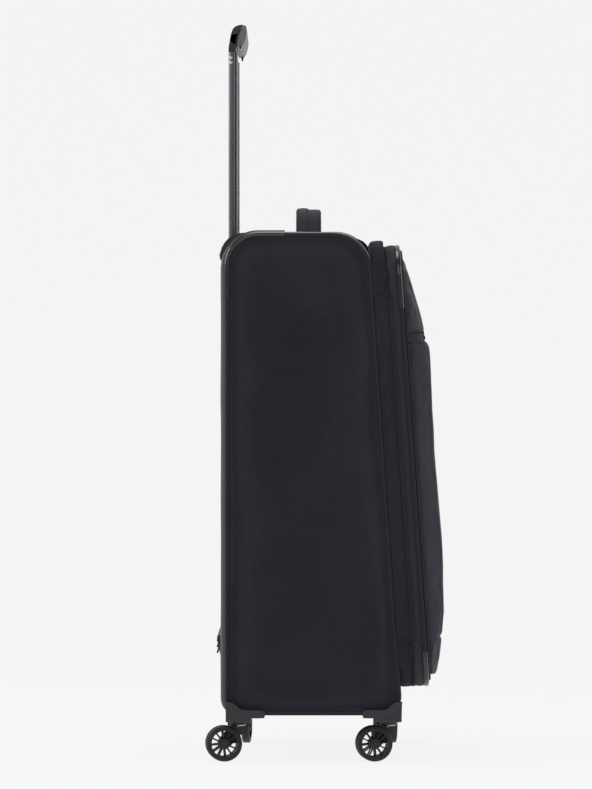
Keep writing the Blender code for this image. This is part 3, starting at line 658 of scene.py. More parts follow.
class Pattern:
    """A Geometry Nodes tree that puts a shape on points and gives it a material."""

    def __init__(self, name: str, lengths: Sequence[str], count: str = "") -> None:
        """Start a tree whose inputs are some lengths, a count if it is named, and a material."""
        self.tree = bpy.data.node_groups.new(name, "GeometryNodeTree")
        self.tree.is_modifier = True
        kinds = [("Geometry", "Geometry"), *((length, "Float") for length in lengths)]
        kinds += [(count, "Int")] if count else []
        for label, kind in [*kinds, ("Material", "Material")]:
            self.tree.interface.new_socket(label, in_out="INPUT", socket_type=f"NodeSocket{kind}")
        self.tree.interface.new_socket("Geometry", in_out="OUTPUT", socket_type="NodeSocketGeometry")
        self.inputs = self.add("NodeGroupInput").outputs

    def add(self, kind: str, **values: object) -> bpy.types.Node:
        """Add a node of a kind and set its inputs by name."""
        node = self.tree.nodes.new(kind)
        for name, value in values.items():
            node.inputs[name].default_value = value
        return node

    def join(self, source: Socket, target: Socket) -> None:
        """Join an output to an input."""
        self.tree.links.new(source, target)

    def triple(self, *names: str) -> Socket:
        """Vector of three of the tree's inputs."""
        vector = self.add("ShaderNodeCombineXYZ")
        for name, axis in zip(names, "XYZ"):
            self.join(self.inputs[name], vector.inputs[axis])
        return vector.outputs["Vector"]

    def place(self, points: Socket, shape: Socket, rotation: Socket) -> None:
        """End the tree: the shape on each point, turned, made real and painted."""
        put, real, paint = map(self.add, ("GeometryNodeInstanceOnPoints", "GeometryNodeRealizeInstances",
                                          "GeometryNodeSetMaterial"))
        self.join(points, put.inputs["Points"])
        self.join(shape, put.inputs["Instance"])
        self.join(rotation, put.inputs["Rotation"])
        self.join(put.outputs["Instances"], real.inputs["Geometry"])
        self.join(real.outputs["Geometry"], paint.inputs["Geometry"])
        self.join(self.inputs["Material"], paint.inputs["Material"])
        self.join(paint.outputs["Geometry"], self.add("NodeGroupOutput").inputs["Geometry"])

    def run(self, piece: Piece, finish: Finish, sizes: dict[str, float]) -> None:
        """Run the tree on a piece with inputs set by name, and keep the plain mesh that it gives."""
        modifier = piece.modifiers.new("pattern", "NODES")
        modifier.node_group = self.tree
        values = {**sizes, "Material": WARDROBE.material(finish)}
        for socket in self.tree.interface.items_tree:
            if socket.in_out == "INPUT" and socket.name in values:
                modifier[socket.identifier] = values[socket.name]
        settled(piece)
        repaint(piece, finish)


class Bead(Enum):
    """Shape of what a row repeats."""

    STITCH = "stitch"
    TOOTH = "tooth"


@dataclass(frozen=True)
class Row:
    """A row of small pieces along a path: stitches or zipper teeth."""

    bead: Bead
    length: float
    width: float
    height: float
    spacing: float

    def pattern(self) -> "Pattern":
        """Node tree that resamples a path and puts a bead on each point."""
        pattern = Pattern(f"row_of_{self.bead.value}", ("Length", "Width", "Height", "Spacing"))
        add, join, inputs = pattern.add, pattern.join, pattern.inputs
        curve, resample = add("GeometryNodeMeshToCurve"), add("GeometryNodeResampleCurve")
        resample.mode = "LENGTH"
        join(inputs["Geometry"], curve.inputs["Mesh"])
        join(curve.outputs["Curve"], resample.inputs["Curve"])
        join(inputs["Spacing"], resample.inputs["Length"])
        shaped = add("GeometryNodeTransform")
        join(self.bead_node(pattern), shaped.inputs["Geometry"])
        join(pattern.triple("Length", "Width", "Height"), shaped.inputs["Scale"])
        tangent, up = add("GeometryNodeInputTangent"), add("GeometryNodeInputNamedAttribute")
        up.data_type = "FLOAT_VECTOR"
        up.inputs["Name"].default_value = "up"
        turn = add("FunctionNodeAxesToRotation")
        turn.primary_axis, turn.secondary_axis = "X", "Z"
        join(tangent.outputs["Tangent"], turn.inputs["Primary Axis"])
        join(up.outputs["Attribute"], turn.inputs["Secondary Axis"])
        pattern.place(resample.outputs["Curve"], shaped.outputs["Geometry"], turn.outputs["Rotation"])
        return pattern

    def bead_node(self, pattern: "Pattern") -> Socket:
        """Unit mesh of one bead: an egg for a stitch, a bar for a tooth."""
        if self.bead is Bead.STITCH:
            unit = pattern.add("GeometryNodeMeshUVSphere", Segments=6, Rings=4, Radius=0.5)
            turn = pattern.add("GeometryNodeTransform", Rotation=(0, pi / 2, 0))
        else:
            unit = pattern.add("GeometryNodeMeshCylinder", Vertices=8, Radius=0.5, Depth=1.0)
            turn = pattern.add("GeometryNodeTransform", Rotation=(pi / 2, 0, 0))
        pattern.join(unit.outputs["Mesh"], turn.inputs["Geometry"])
        return turn.outputs["Geometry"]

    def along(self, name: str, paths: Sequence[tuple[Path, Vector | Path]], finish: Finish) -> Piece:
        """Lay the row along paths.

        Args:
            name: the new piece's name.
            paths: each path's points with the direction that stands off the surface, one or for each point.
            finish: the beads' finish.

        Returns:
            A piece with a plain mesh.
        """
        shape = bmesh.new()
        up_layer = shape.verts.layers.float_vector.new("up")
        for points, ups in paths:
            verts = [shape.verts.new(point) for point in points]
            for index, vert in enumerate(verts):
                vert[up_layer] = ups if isinstance(ups, Vector) else ups[index]
            for first, second in zip(verts, verts[1:]):
                shape.edges.new([first, second])
        data = bpy.data.meshes.new(name)
        shape.to_mesh(data)
        shape.free()
        piece = bpy.data.objects.new(name, data)
        bpy.context.scene.collection.objects.link(piece)
        sizes = {"Length": self.length, "Width": self.width, "Height": self.height, "Spacing": self.spacing}
        self.pattern().run(piece, finish, sizes)
        piece.data.shade_smooth()
        return piece


STITCHES = Row(Bead.STITCH, 3.2 * MM, 0.9 * MM, 0.7 * MM, 4.2 * MM)
TEETH = Row(Bead.TOOTH, 0.95 * MM, 3.4 * MM, 1.5 * MM, 1.35 * MM)


# ---------------------------------------------------------------- places taken from the frame


def joint(name: str) -> dict:
    """One of the frame's joints, as the record states it."""
    return next(item for item in frame["joints"] if item["name"] == name)


def corner_of(node: str, which: int, axis: int) -> float:
    """One number of a CAD node's box: which is 0 for the lowest corner and 1 for the highest."""
    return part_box(node)[which][axis]


@dataclass(frozen=True)
class FrontPlane:
    """The leaning plane between case and lid: offsets run forwards from it, lengths up along it."""

    foot: float
    lean: float

    @classmethod
    def from_frame(cls, hinge_offset: float = 18.1 * MM) -> "FrontPlane":
        """Find the plane from the lid's hinge axis, which lies hinge_offset in front of it."""
        hinge = joint("lid_hinge")
        up = -Vector(hinge["axis"])
        lean = atan2(up.y, up.z)
        place = Vector(hinge["pos_m"]) - Vector((0, -cos(lean), sin(lean))) * hinge_offset
        return cls(place.y - place.z * tan(lean), lean)

    @property
    def forwards(self) -> Vector:
        """Unit vector out of the plane, towards the front."""
        return Vector((0, -cos(self.lean), sin(self.lean)))

    @property
    def up(self) -> Vector:
        """Unit vector up along the plane."""
        return Vector((0, sin(self.lean), cos(self.lean)))

    def at(self, x: float, offset: float, length: float) -> Vector:
        """A point x across, offset in front of the plane and length up along it."""
        return Vector((x, self.foot, 0)) + self.forwards * offset + self.up * length

    def y_at(self, height: float, offset: float = 0.0) -> float:
        """y of the plane moved forwards by an offset, at a height."""
        return self.foot + height * tan(self.lean) - offset / cos(self.lean)


FRONT = FrontPlane.from_frame()
BACK = corner_of("back_panel", 1, 1)
HALF_WIDTH = corner_of("side_panel_right", 1, 0)
SHELL_LOW, SHELL_HIGH = corner_of("bottom_panel", 0, 2), corner_of("top_panel", 1, 2)
LID_HALF = corner_of("lid_wall", 1, 0)


@dataclass(frozen=True)
class Inset:
    """How far an outline lies inside the shell's own, on each of its four sides."""

    back: float = 0.0
    top: float = 0.0
    front: float = 0.0
    low: float = 0.0

    def deeper(self, more: float) -> "Inset":
        """The same, moved in by more on every side."""
        return Inset(self.back + more, self.top + more, self.front + more, self.low + more)

    def towards(self, other: "Inset", share: float) -> "Inset":
        """A mix of this and another."""
        mix = [a + (b - a) * share for a, b in zip(self.values(), other.values())]
        return Inset(*mix)

    def values(self) -> tuple[float, float, float, float]:
        """Its four numbers."""
        return self.back, self.top, self.front, self.low


PIPING_LINE = Inset(8.8 * MM, 3.0 * MM, 3.4 * MM, 2.0 * MM)


def profile_corners(inset: Inset, radii: Sequence[float]) -> list[tuple[float, float, float]]:
    """Corners (y, z, radius) of the case's profile: low back, high back, high front, low front."""
    low, high, back = SHELL_LOW + inset.low, SHELL_HIGH - inset.top, BACK - inset.back
    places = [(back, low), (back, high), (FRONT.y_at(high, -inset.front), high),
              (FRONT.y_at(low, -inset.front), low)]
    return [(y, z, radius) for (y, z), radius in zip(places, radii)]


@dataclass
class CaseShell:
    """The sewn case: side panels, the band of fabric round them, piping and glossy corner binding."""

    piping: float = 2.3 * MM
    cloth: float = 1.4 * MM
    side_crown: float = 1.6 * MM
    radii: tuple[float, float, float, float] = (20 * MM, 44 * MM, 54 * MM, 24 * MM)
    edge: float = 11 * MM
    top_crown: float = 4.0 * MM
    low_sag: float = 4.5 * MM
    binding_low: float = 648 * MM
    binding_depth: float = 90 * MM
    steps: tuple[float, ...] = (0, 1.5, 4, 8, 14, 22, 33, 47, 64, 84)

    def spans(self) -> list[int]:
        """Edges in each straight stretch of the profile."""
        depth = BACK - FRONT.y_at(SHELL_LOW)
        height = SHELL_HIGH - SHELL_LOW
        return span_counts((height * 0.9, depth * 0.6, height * 0.85, depth * 0.8), self.edge)

    def line(self, inset: Inset, shrink: float = 0.0) -> Path:
        """Closed profile at an inset, its corner radii less by shrink."""
        radii = [max(2 * MM, radius - shrink) for radius in self.radii]
        return rounded(profile_corners(inset, radii), 8, self.spans())

    def build_side(self, side: Side) -> None:
        """One crowned side panel, drawn as rings that step in from the piping."""
        start = PIPING_LINE.deeper(self.piping * 0.6)
        rows = []
        for step in self.steps:
            rise = self.side_crown * (1 - E_BASE ** (-step / 14))
            x = side.value * (HALF_WIDTH + 0.9 * MM + rise)
            rows.append([Vector((x, p.x, p.y)) for p in self.line(start.deeper(step * MM), step * MM)])
        lip = [Vector((side.value * (HALF_WIDTH - 3 * MM), p.x, p.y)) for p in self.line(start)]
        edge = rows[-1]
        for share in (0.15, 0.32, 0.5, 0.68, 0.84, 0.97):
            rows.append([point.lerp(self.core(point), share) for point in edge])
        shape = lofted([lip, *rows])
        shape.verts.ensure_lookup_table()
        shape.faces.new(shape.verts[-len(edge):])
        bmesh.ops.triangulate(shape, faces=[f for f in shape.faces if len(f.verts) > 4])
        piece = as_piece(f"side_cloth_{side.word}", shape, WARDROBE.side, HEART)
        crumple(piece, 0.4 * MM, 130 * MM, 3.0 + side.value)
        thicken(piece, self.cloth)
        fit(piece, "root", "shell_fabric", f"side_panel_{side.word}")

    @staticmethod
    def core(point: Vector) -> Vector:
        """Nearest point of the upright line down the middle of a side panel."""
        height = min(max(point.z, SHELL_LOW + 120 * MM), SHELL_HIGH - 120 * MM)
        return Vector((point.x, (BACK + FRONT.y_at(height)) / 2, height))

    def build_piping(self, side: Side) -> None:
        """Cord piping round one side, with its stitched lip against the side panel."""
        x = side.value * (HALF_WIDTH + 1.4 * MM)
        path = [Vector((x, p.x, p.y)) for p in self.line(PIPING_LINE)]
        cord = as_piece("cord", swept(path, round_section(self.piping), X_AXIS), WARDROBE.binding, crease=80)
        lip_path = [Vector((x, p.x, p.y)) for p in self.line(PIPING_LINE.deeper(self.piping + 0.9 * MM),
                                                             3 * MM)]
        up = X_AXIS * side.value
        raised = [point + up * 0.6 * MM for point in lip_path]
        thread = STITCHES.along("lip_thread", [([*raised, raised[0]], up)], WARDROBE.thread)
        fit(joined(f"side_cord_{side.word}", [cord, thread]), "root", "piping_trim",
            f"side_piping_{side.word}")

    def build_binding(self, side: Side) -> None:
        """Glossy binding over the piping at the upper back corner."""
        corners = profile_corners(PIPING_LINE, self.radii)
        back, top = corners[1][0], corners[1][1]
        path2d = rounded([(back, self.binding_low, 0), corners[1], (BACK - self.binding_depth, top, 0)], 12,
                         (4, 4), True)
        x = side.value * (HALF_WIDTH + 1.4 * MM)
        path = [Vector((x, p.x, p.y)) for p in path2d]
        sign = 1 if self.outwards(path, X_AXIS) else -1
        half = in_mm([(-3.0, -0.9), (-2.9, 1.4), (-1.6, 2.7), (0.3, 3.1), (2.2, 2.4), (3.6, 0.6),
                      (6.2, -3.2), (5.6, -4.0),
                      (2, -2)])
        section = [(a * sign, b * side.value) for a, b in half]
        piece = as_piece(f"corner_binding_{side.word}", swept(path, section, X_AXIS, False),
                         WARDROBE.gloss_binding, crease=50)
        fit(piece, "root", "gloss_moulding")

    @staticmethod
    def outwards(path: Path, normal: Vector) -> bool:
        """Whether a sweep's across direction points away from the case's middle at a path's start."""
        across = (path[1] - path[0]).cross(normal)
        return across.dot(path[0] - Vector((path[0].x, 0, 0.4))) > 0

    def build_band(self) -> None:
        """The band of fabric round back, top and bottom, crowned across its width."""
        stations = ((228.4, 0.0, 1.0), (227.6, 0.35, 1.0), (225.5, 0.7, 0.97), (221.0, 0.95, 0.9),
                    (213.0, 1.03, 0.8),
                    (198.0, 1.08, 0.62), (170.0, 1.1, 0.42), (130.0, 1.1, 0.24), (85.0, 1.1, 0.1),
                    (42.0, 1.1, 0.02),
                    (0.0, 1.1, 0.0))
        rows = []
        for x, share, edge in [*stations, *((-x, s, e) for x, s, e in stations[-2::-1])]:
            rows.append([Vector((x * MM, p.x, p.y)) for p in self.band_line(share, edge)])
        piece = as_piece("band_cloth", lofted(rows, False), WARDROBE.band, HEART)
        crumple(piece, 0.7 * MM, 60 * MM, 21.0, lambda p: min(1.0, (HALF_WIDTH - abs(p.x)) / (20 * MM)))
        thicken(piece, self.cloth)
        for name in ("left", "right"):
            self.cut_tube_way(piece, name)
        fit(piece, "root", "pocket_fabric", "back_panel", "top_panel", "bottom_panel")

    def band_line(self, share: float, edge: float) -> Path:
        """Profile of the band at one place across: share is 0 and edge 1 at the piping."""
        rim = PIPING_LINE.towards(Inset(0, 0, 0, 0), share)
        crown = self.top_crown * (1 - edge)
        inset = Inset(max(rim.back, 0), rim.top - crown, rim.front, rim.low - self.low_sag * (1 - edge))
        front_top = 50 * MM + 4 * MM * edge
        radii = (self.radii[0] + 4 * MM * share, self.radii[1] + 6 * MM * share, front_top,
                 self.radii[3] + 3 * MM * share)
        corners = profile_corners(inset, radii)
        end = corners[2][1] - front_top - 4 * MM
        start = 104 * MM
        way = [(FRONT.y_at(start, -inset.front), start, 0), corners[3], corners[0], corners[1], corners[2],
               (FRONT.y_at(end, -inset.front), end, 0)]
        return rounded(way, 8, (3, 14, 44, 12, 2), True)

    def cut_tube_way(self, piece: Piece, name: str) -> None:
        """Cut the hole that one tube of the pull handle comes out through."""
        low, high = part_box(f"outer_tube_{name}")
        room = 1 * MM
        outline = rounded(rectangle(low[0] - room, low[1] - room, high[0] + room, high[1] + room))
        hole = plate(outline, lambda a, b, c: Vector((a, b, c)), 680 * MM, 800 * MM)
        cut_with(piece, as_piece("tool", hole, WARDROBE.band))

    def build(self) -> None:
        """Build the whole shell."""
        for side in Side:
            self.build_side(side)
            self.build_piping(side)
            self.build_binding(side)
        self.build_band()


# ---------------------------------------------------------------- rim, zipper and lid


@dataclass(frozen=True)
class LidLine:
    """Rounded rectangle in the front plane that the rim, the zipper and the lid follow."""

    half: float
    low: float
    high: float
    radius: float

    def path(self, offset: float, grow: float = 0.0, edge: float = 9 * MM) -> Path:
        """Closed path at an offset forwards, grown outwards; from the lower left corner, towards +X first."""
        half, low, high = self.half + grow, self.low - grow, self.high + grow
        radius = max(2 * MM, self.radius + grow)
        corners = rectangle(-half, low, half, high, radius)
        spans = span_counts((2 * half - 2 * radius, high - low - 2 * radius) * 2, edge)
        return lay(rounded(corners, 10, spans), lambda x, s: FRONT.at(x, offset, s))

    def free_edge(self, offset: float, grow: float, hinge: tuple[float, float]) -> Path:
        """Open path that leaves out the stretch of the -X side between two lengths."""
        low, high = hinge
        half, bottom, top, radius = self.half + grow, self.low - grow, self.high + grow, self.radius + grow
        corners = [(-half, low, 0), (-half, bottom, radius), (half, bottom, radius), (half, top, radius),
                   (-half, top, radius), (-half, high, 0)]
        spans = span_counts((0.02, 2 * half - 0.1, top - bottom - 0.1, 2 * half - 0.1, 0.03), 12 * MM)
        return lay(rounded(corners, 10, spans, True), lambda x, s: FRONT.at(x, offset, s))


LID_LINE = LidLine(LID_HALF, 105 * MM, 722 * MM, 42 * MM)
RIM_LINE = LidLine(LID_HALF, 105 * MM, 731 * MM, 42 * MM)
HINGE_ENDS = (168 * MM, 654 * MM)
ZIP_OFFSET = 18.1 * MM
HINGE_WEDGE = 0.035  # room beside rim and lid, as a share of the distance from the hinge's line
SEAM_PROUD = 0.25 * MM


def pressed(point: Vector, spare: float = 0.0) -> Vector:
    """A point moved in to the room that the open lid and the zipper's slider leave beside rim and lid."""
    reach = abs((point - FRONT.at(0, 0, 0)).dot(FRONT.forwards) - ZIP_OFFSET)
    limit = LID_HALF + HINGE_WEDGE * reach + spare
    return Vector((min(max(point.x, -limit), limit), point.y, point.z))


def make_room(piece: Piece) -> None:
    """Press a piece's two sides in, so that the open lid lies beside the rim and the slider runs free."""
    for vertex in piece.data.vertices:
        vertex.co = pressed(vertex.co)


@dataclass
class RimAndZipper:
    """Fabric rim of the case, the zipper's two rows, their tapes and the cloth hinge."""

    def build_rim(self) -> None:
        """The rim: a bulged band round the opening, with two rows of stitches."""
        section = in_mm([(-6, -2.6), (-0.6, -1.6), (0.6, 0.6), (1.3, 4), (1.5, 8.5), (1.2, 13), (0.3, 16.4),
                         (-1.2, 17.2),
                         (-7.5, 16.6), (-7.5, 0.5)])
        rim = as_piece("rim_cloth", swept(RIM_LINE.path(0), section, FRONT.forwards), WARDROBE.strip,
                       crease=50)
        crumple(rim, 0.5 * MM, 24 * MM, 5.0, self.slack)
        make_room(rim)
        rows = []
        for offset in (2.6 * MM, 14.4 * MM):
            path = [pressed(point, SEAM_PROUD) for point in RIM_LINE.path(offset, 1.2 * MM)]
            rows.append(([*path, path[0]], self.outs(path)))
        thread = STITCHES.along("rim_thread", rows, WARDROBE.thread)
        fit(joined("rim_cloth_and_seams", [rim, thread]), "root", "shell_fabric", "front_rim")

    @staticmethod
    def slack(place: Vector) -> float:
        """How loose the rim's cloth is: loose at its sides and top, tight below."""
        return 1.0 if abs(place.x) > LID_HALF - 3 * MM or place.z > 700 * MM else 0.3

    @staticmethod
    def outs(path: Path) -> Path:
        """Outward directions along a closed path in the front plane, its first one again at the end."""
        found = []
        for index, _ in enumerate(path):
            along = path[(index + 1) % len(path)] - path[index - 1]
            found.append(along.cross(FRONT.forwards).normalized())
        return [*found, found[0]]

    @staticmethod
    def open_outs(path: Path) -> Path:
        """Outward directions along an open path in the front plane."""
        ahead, behind = [*path[1:], path[-1]], [path[0], *path[:-1]]
        return [(b - a).cross(FRONT.forwards).normalized() for a, b in zip(behind, ahead)]

    def build_zipper(self) -> None:
        """Two rows of coil, one on the rim's tape and one on the lid's, meeting in the gap."""
        for body, shift, name, slot in (("root", -0.75, "rim", "piping_trim"),
                                        ("lid", 0.75, "lid", "piping_trim")):
            path = LID_LINE.free_edge(ZIP_OFFSET + shift * MM, 0.7 * MM, HINGE_ENDS)
            teeth = TEETH.along(f"{name}_coil", [(path, self.open_outs(path))], WARDROBE.teeth)
            tape_path = LID_LINE.free_edge(ZIP_OFFSET + shift * 3.4 * MM, -0.9 * MM, HINGE_ENDS)
            section = in_mm([(-0.4, -2.8), (0.4, -2.8), (0.4, 2.8), (-0.4, 2.8)])
            tape = as_piece(f"{name}_tape", swept(tape_path, section, FRONT.forwards, False), WARDROBE.tape)
            fit(joined(f"{name}_zipper_half", [tape, teeth]), body, slot)

    def build_hinge(self) -> None:
        """Cloth hinge across the joint at -X, folded in at its middle and sewn twice at both ends."""
        low, high = HINGE_ENDS
        x = -LID_HALF
        lines = ((-0.2, -1.1), (0.9, -1.3), (8.5, -1.6), (15.8, -1.2), (17.2, -0.6), (18.1, 0.3),
                 (19.0, -0.6),
                 (20.4, -1.2), (24, -1.5))
        rows = []
        count = 60
        for step in range(count + 1):
            length = low + (high - low) * step / count
            rows.append([FRONT.at(x + across * MM, offset * MM, length) for offset, across in lines])
        piece = as_piece("hinge_cloth", lofted(rows, False), WARDROBE.strip, Vector((0, -0.1, 0.4)),
                         crease=70)
        crumple(piece, 0.5 * MM, 22 * MM, 31.0)
        thicken(piece, 0.8 * MM)
        threads = []
        for length in (low + 3 * MM, low + 7 * MM, high - 7 * MM, high - 3 * MM):
            threads.append(([FRONT.at(x - 2.1 * MM, offset * MM, length) for offset in (1, 8, 16)], -X_AXIS))
        threads.append(([FRONT.at(x - 1.95 * MM, 3.2 * MM, length) for length in (low, high)], -X_AXIS))
        sewn = STITCHES.along("hinge_thread", threads, WARDROBE.thread)
        fit(sewn, "root", "piping_trim")
        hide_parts("lid_hinge_cloth")
        start, end = FRONT.at(x, 17.2 * MM, 0.4), FRONT.at(x, 19.0 * MM, 0.4)
        tuple(start)
        tuple(end)
        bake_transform(piece)
        LOG.info("%s: bends between the case and the lid", piece.name)

    def build(self) -> None:
        """Build the rim, the zipper and the hinge."""
        self.build_rim()
        self.build_zipper()
        self.build_hinge()


@dataclass
class Lid:
    """Lid: puffed side wall, piping, front cloth, two pockets, their zipper and the lining."""

    board: float = 37.2 * MM
    coil: float = 66.6 * MM
    fold: float = 592 * MM
    fold_half: float = 219 * MM
    pocket_half: float = LID_HALF - 9 * MM

    def build_wall(self) -> None:
        """Side wall of the lid, softly puckered along its seams."""
        section = in_mm([(-2.2, 19.2), (-0.3, 19.5), (0.9, 21.2), (1.7, 24.5), (1.9, 28), (1.4, 31.5),
                         (0.2, 34.2),
                         (-2.5, 34.6), (-2.8, 30), (-2.8, 22)])
        wall = as_piece("lid_wall_cloth", swept(LID_LINE.path(0, 0, 6 * MM), section, FRONT.forwards),
                        WARDROBE.lid, crease=60)

        def near_top(place: Vector) -> float:
            return 0.35 + 0.9 * max(0.0, min(1.0, (place.z - 0.6) / 0.1))

        crumple(wall, 2.2 * MM, 15 * MM, 40.0, near_top)
        crumple(wall, 0.5 * MM, 7 * MM, 44.0, near_top)
        make_room(wall)
        path = [pressed(point, SEAM_PROUD) for point in LID_LINE.path(21.8 * MM, 1.2 * MM)]
        thread = STITCHES.along("wall_thread", [([*path, path[0]], RimAndZipper.outs(path))], WARDROBE.thread)
        fit(joined("lid_wall_cloth_and_seam", [wall, thread]), "lid", "shell_fabric", "lid_wall")

    def build_front(self) -> None:
        """Cloth of the lid's face round the pockets, with piping at its edge and round the pockets."""
        cords = []
        for offset, grow, radius in ((37.0, -0.2, 2.3), (41.0, -7.0, 1.9)):
            cord = swept(LID_LINE.path(offset * MM, grow * MM), round_section(radius * MM), FRONT.forwards)
            cords.append(as_piece("cord", cord, WARDROBE.binding, crease=80))
        section = in_mm([(-0.5, 34.6), (0.3, 36.5), (-2.5, 38.0), (-6, 39.3), (-14, 39.0), (-14, 33.6),
                         (-3, 33.4)])
        cloth = as_piece("cloth", swept(LID_LINE.path(0), section, FRONT.forwards), WARDROBE.lid, crease=60)
        fit(joined("lid_edge_and_piping", [cloth, *cords]), "lid", "shell_fabric")
        for high in (True, False):
            self.build_binding(high)

    def build_binding(self, is_high: bool) -> None:
        """Glossy binding over the lid's piping round its two upper or its two lower corners."""
        half, radius = LID_LINE.half - 0.2 * MM, LID_LINE.radius
        end, edge = (634 * MM, LID_LINE.high) if is_high else (152 * MM, LID_LINE.low)
        reach = 60 * MM if is_high else 34 * MM
        pieces = []
        for sign in (-1, 1):
            way = [(sign * half, end, 0), (sign * half, edge, radius),
                   (sign * (half - radius - reach), edge, 0)]
            path = lay(rounded(way, 12, (4, 4), True), lambda x, s: FRONT.at(x, 37.0 * MM, s))
            across = (path[1] - path[0]).cross(FRONT.forwards)
            flip = 1 if across.x * sign > 0 else -1
            section = [(a * flip * MM, b * MM) for a, b in (
                (3.0, -0.4), (2.4, 1.8), (0.6, 3.0), (-1.6, 2.7), (-4.8, 2.5), (-5.2, 1.6), (-1, -2.0),
                (1.5, -3.6), (2.3, -3.4))]
            pieces.append(as_piece("strip", swept(path, section, FRONT.forwards, False),
                                   WARDROBE.gloss_binding, crease=50))
        fit(joined(f"lid_binding_{'upper' if is_high else 'lower'}", pieces), "lid", "gloss_moulding")

    def puff(self, node: str, name: str, cap: float) -> Piece:
        """Padded pocket: the CAD solid remeshed, blown up a little as cloth, and smoothed.

        Args:
            node: the CAD node it starts from.
            name: the new piece's name.
            cap: the furthest that a point may move.

        Returns:
            The piece, not yet fitted.
        """
        shape = bmesh.new()
        shape.from_mesh(frame["nodes"][node].data)
        bmesh.ops.remove_doubles(shape, verts=shape.verts, dist=1e-5)
        centre = sum((v.co for v in shape.verts), Vector()) / len(shape.verts)
        for vert in shape.verts:
            vert.co += (centre - vert.co).normalized() * 2.0 * MM
        piece = as_piece(name, shape, WARDROBE.pocket)
        remesh = piece.modifiers.new("voxels", "REMESH")
        remesh.mode, remesh.voxel_size = "VOXEL", 5 * MM
        settled(piece)
        piece.data.materials.clear()
        piece.data.materials.append(WARDROBE.material(WARDROBE.pocket))
        rest = [v.co.copy() for v in piece.data.vertices]
        self.blow(piece)
        base = FRONT.at(0, self.board + 0.8 * MM, 0)
        for vertex, start in zip(piece.data.vertices, rest):
            move = vertex.co - start
            if move.length > cap:
                vertex.co = start + move.normalized() * cap
            under = (vertex.co - base).dot(FRONT.forwards)
            if under < 0:
                vertex.co -= FRONT.forwards * under
        subdivide(piece)
        piece.data.shade_smooth()
        return piece

    @staticmethod
    def blow(piece: Piece) -> None:
        """Run the cloth simulation on a pocket and keep its last frame."""
        scene = bpy.context.scene
        cloth = piece.modifiers.new("cloth", "CLOTH")
        settings = cloth.settings
        settings.quality = 5
        settings.use_pressure = True
        settings.uniform_pressure_force = 4.0
        settings.effector_weights.gravity = 0.0
        settings.shrink_min = -0.015
        for frame_number in range(1, 21):
            scene.frame_set(frame_number)
        settled(piece)
        scene.frame_set(1)

    def build_pockets(self) -> None:
        """Both pockets and the seam low on the front; build_pocket_zipper makes the zipper under the upper
        one.
        """
        for node, name, cap in (("lower_pocket", "lower_pocket_cloth", 4 * MM),
                                ("upper_pocket", "upper_pocket_cloth", 3 * MM)):
            piece = self.puff(node, name, cap)
            crumple(piece, 1.1 * MM, 85 * MM, 60.0 + cap * 1000)
            crumple(piece, 0.4 * MM, 20 * MM, 70.0)
            self.press_seams(piece)
            fit(piece, "lid", "pocket_fabric", node)

    def press_seams(self, piece: Piece) -> None:
        """Pull the pocket in along its sewn lines."""

        def depth(x: float, length: float) -> float:
            pull = 2.6 * MM * E_BASE ** (-((length - 172 * MM) / (3.0 * MM)) ** 2)
            edge = abs(abs(x) - (self.pocket_half - 16 * MM))
            return pull + 0.8 * MM * E_BASE ** (-(edge / (2.5 * MM)) ** 2)

        for vertex in piece.data.vertices:
            local = vertex.co - FRONT.at(0, 0, 0)
            if local.dot(FRONT.forwards) > self.board + 3 * MM:
                vertex.co -= FRONT.forwards * depth(vertex.co.x, local.dot(FRONT.up))

    def surface(self, x: float, length: float, targets: Sequence[Piece]) -> Vector | None:
        """Point where a line from the front meets the first of some pieces."""
        start = FRONT.at(x, 0.2, length)
        hits = []
        for target in targets:
            found, place, _, _ = target.ray_cast(start, -FRONT.forwards)
            if found:
                hits.append(place)
        return max(hits, key=lambda p: (p - start).dot(FRONT.forwards)) if hits else None

    def build_seams(self) -> None:
        """Rows of stitches that follow the pockets' surface."""
        pockets = [bpy.data.objects["lower_pocket_cloth"], bpy.data.objects["upper_pocket_cloth"]]
        half = self.pocket_half - 18 * MM
        lines = [[(x, length) for x in range(-200, 201, 8)] for length in (174.5, 169.5, 603.0)]
        lines += [[(sign * half / MM, length) for length in range(180, 585, 9)] for sign in (-1, 1)]
        paths = []
        for line in lines:
            points = [self.surface(x * MM, length * MM, pockets) for x, length in line]
            found = [point + FRONT.forwards * 0.15 * MM for point in points if point]
            if len(found) > 1:
                paths.append((found, FRONT.forwards.copy()))
        fit(STITCHES.along("pocket_thread", paths, WARDROBE.thread), "lid", "piping_trim")

    def build_pocket_zipper(self) -> None:
        """Coil and tape of the pocket zipper, across the fold between the pockets."""
        rows = []
        for shift in (-0.9 * MM, 0.9 * MM):
            path = [FRONT.at(x * MM, self.coil, self.fold + shift) for x in range(-196, 197, 8)]
            rows.append((path, FRONT.forwards.copy()))
        teeth = TEETH.along("pocket_coil", rows, WARDROBE.teeth)
        ends = [FRONT.at(x, self.coil - 1.2 * MM, self.fold) for x in (-209 * MM, 209 * MM)]
        tape = as_piece("tape", swept(ends, box_section(-0.5, -9, 0.5, 9, 0.2), FRONT.up, False),
                        WARDROBE.tape)
        fit(joined("pocket_zipper", [teeth, tape]), "lid", "piping_trim")

    def build_fold(self) -> None:
        """Cloth under the pocket zipper, that closes the fold."""
        foot, top = self.board + 0.6 * MM, self.coil - 1.9 * MM
        outline = rounded([(-self.fold_half, foot, 0), (self.fold_half, foot, 0),
                           (self.fold_half, top, 12 * MM),
                           (-self.fold_half, top, 12 * MM)], 8)
        reach = 6.2 * MM
        filler = plate(outline, lambda a, b, c: FRONT.at(a, b, c), self.fold - reach, self.fold + reach)
        fit(as_piece("fold_cloth", filler, WARDROBE.pocket), "lid", "pocket_fabric")

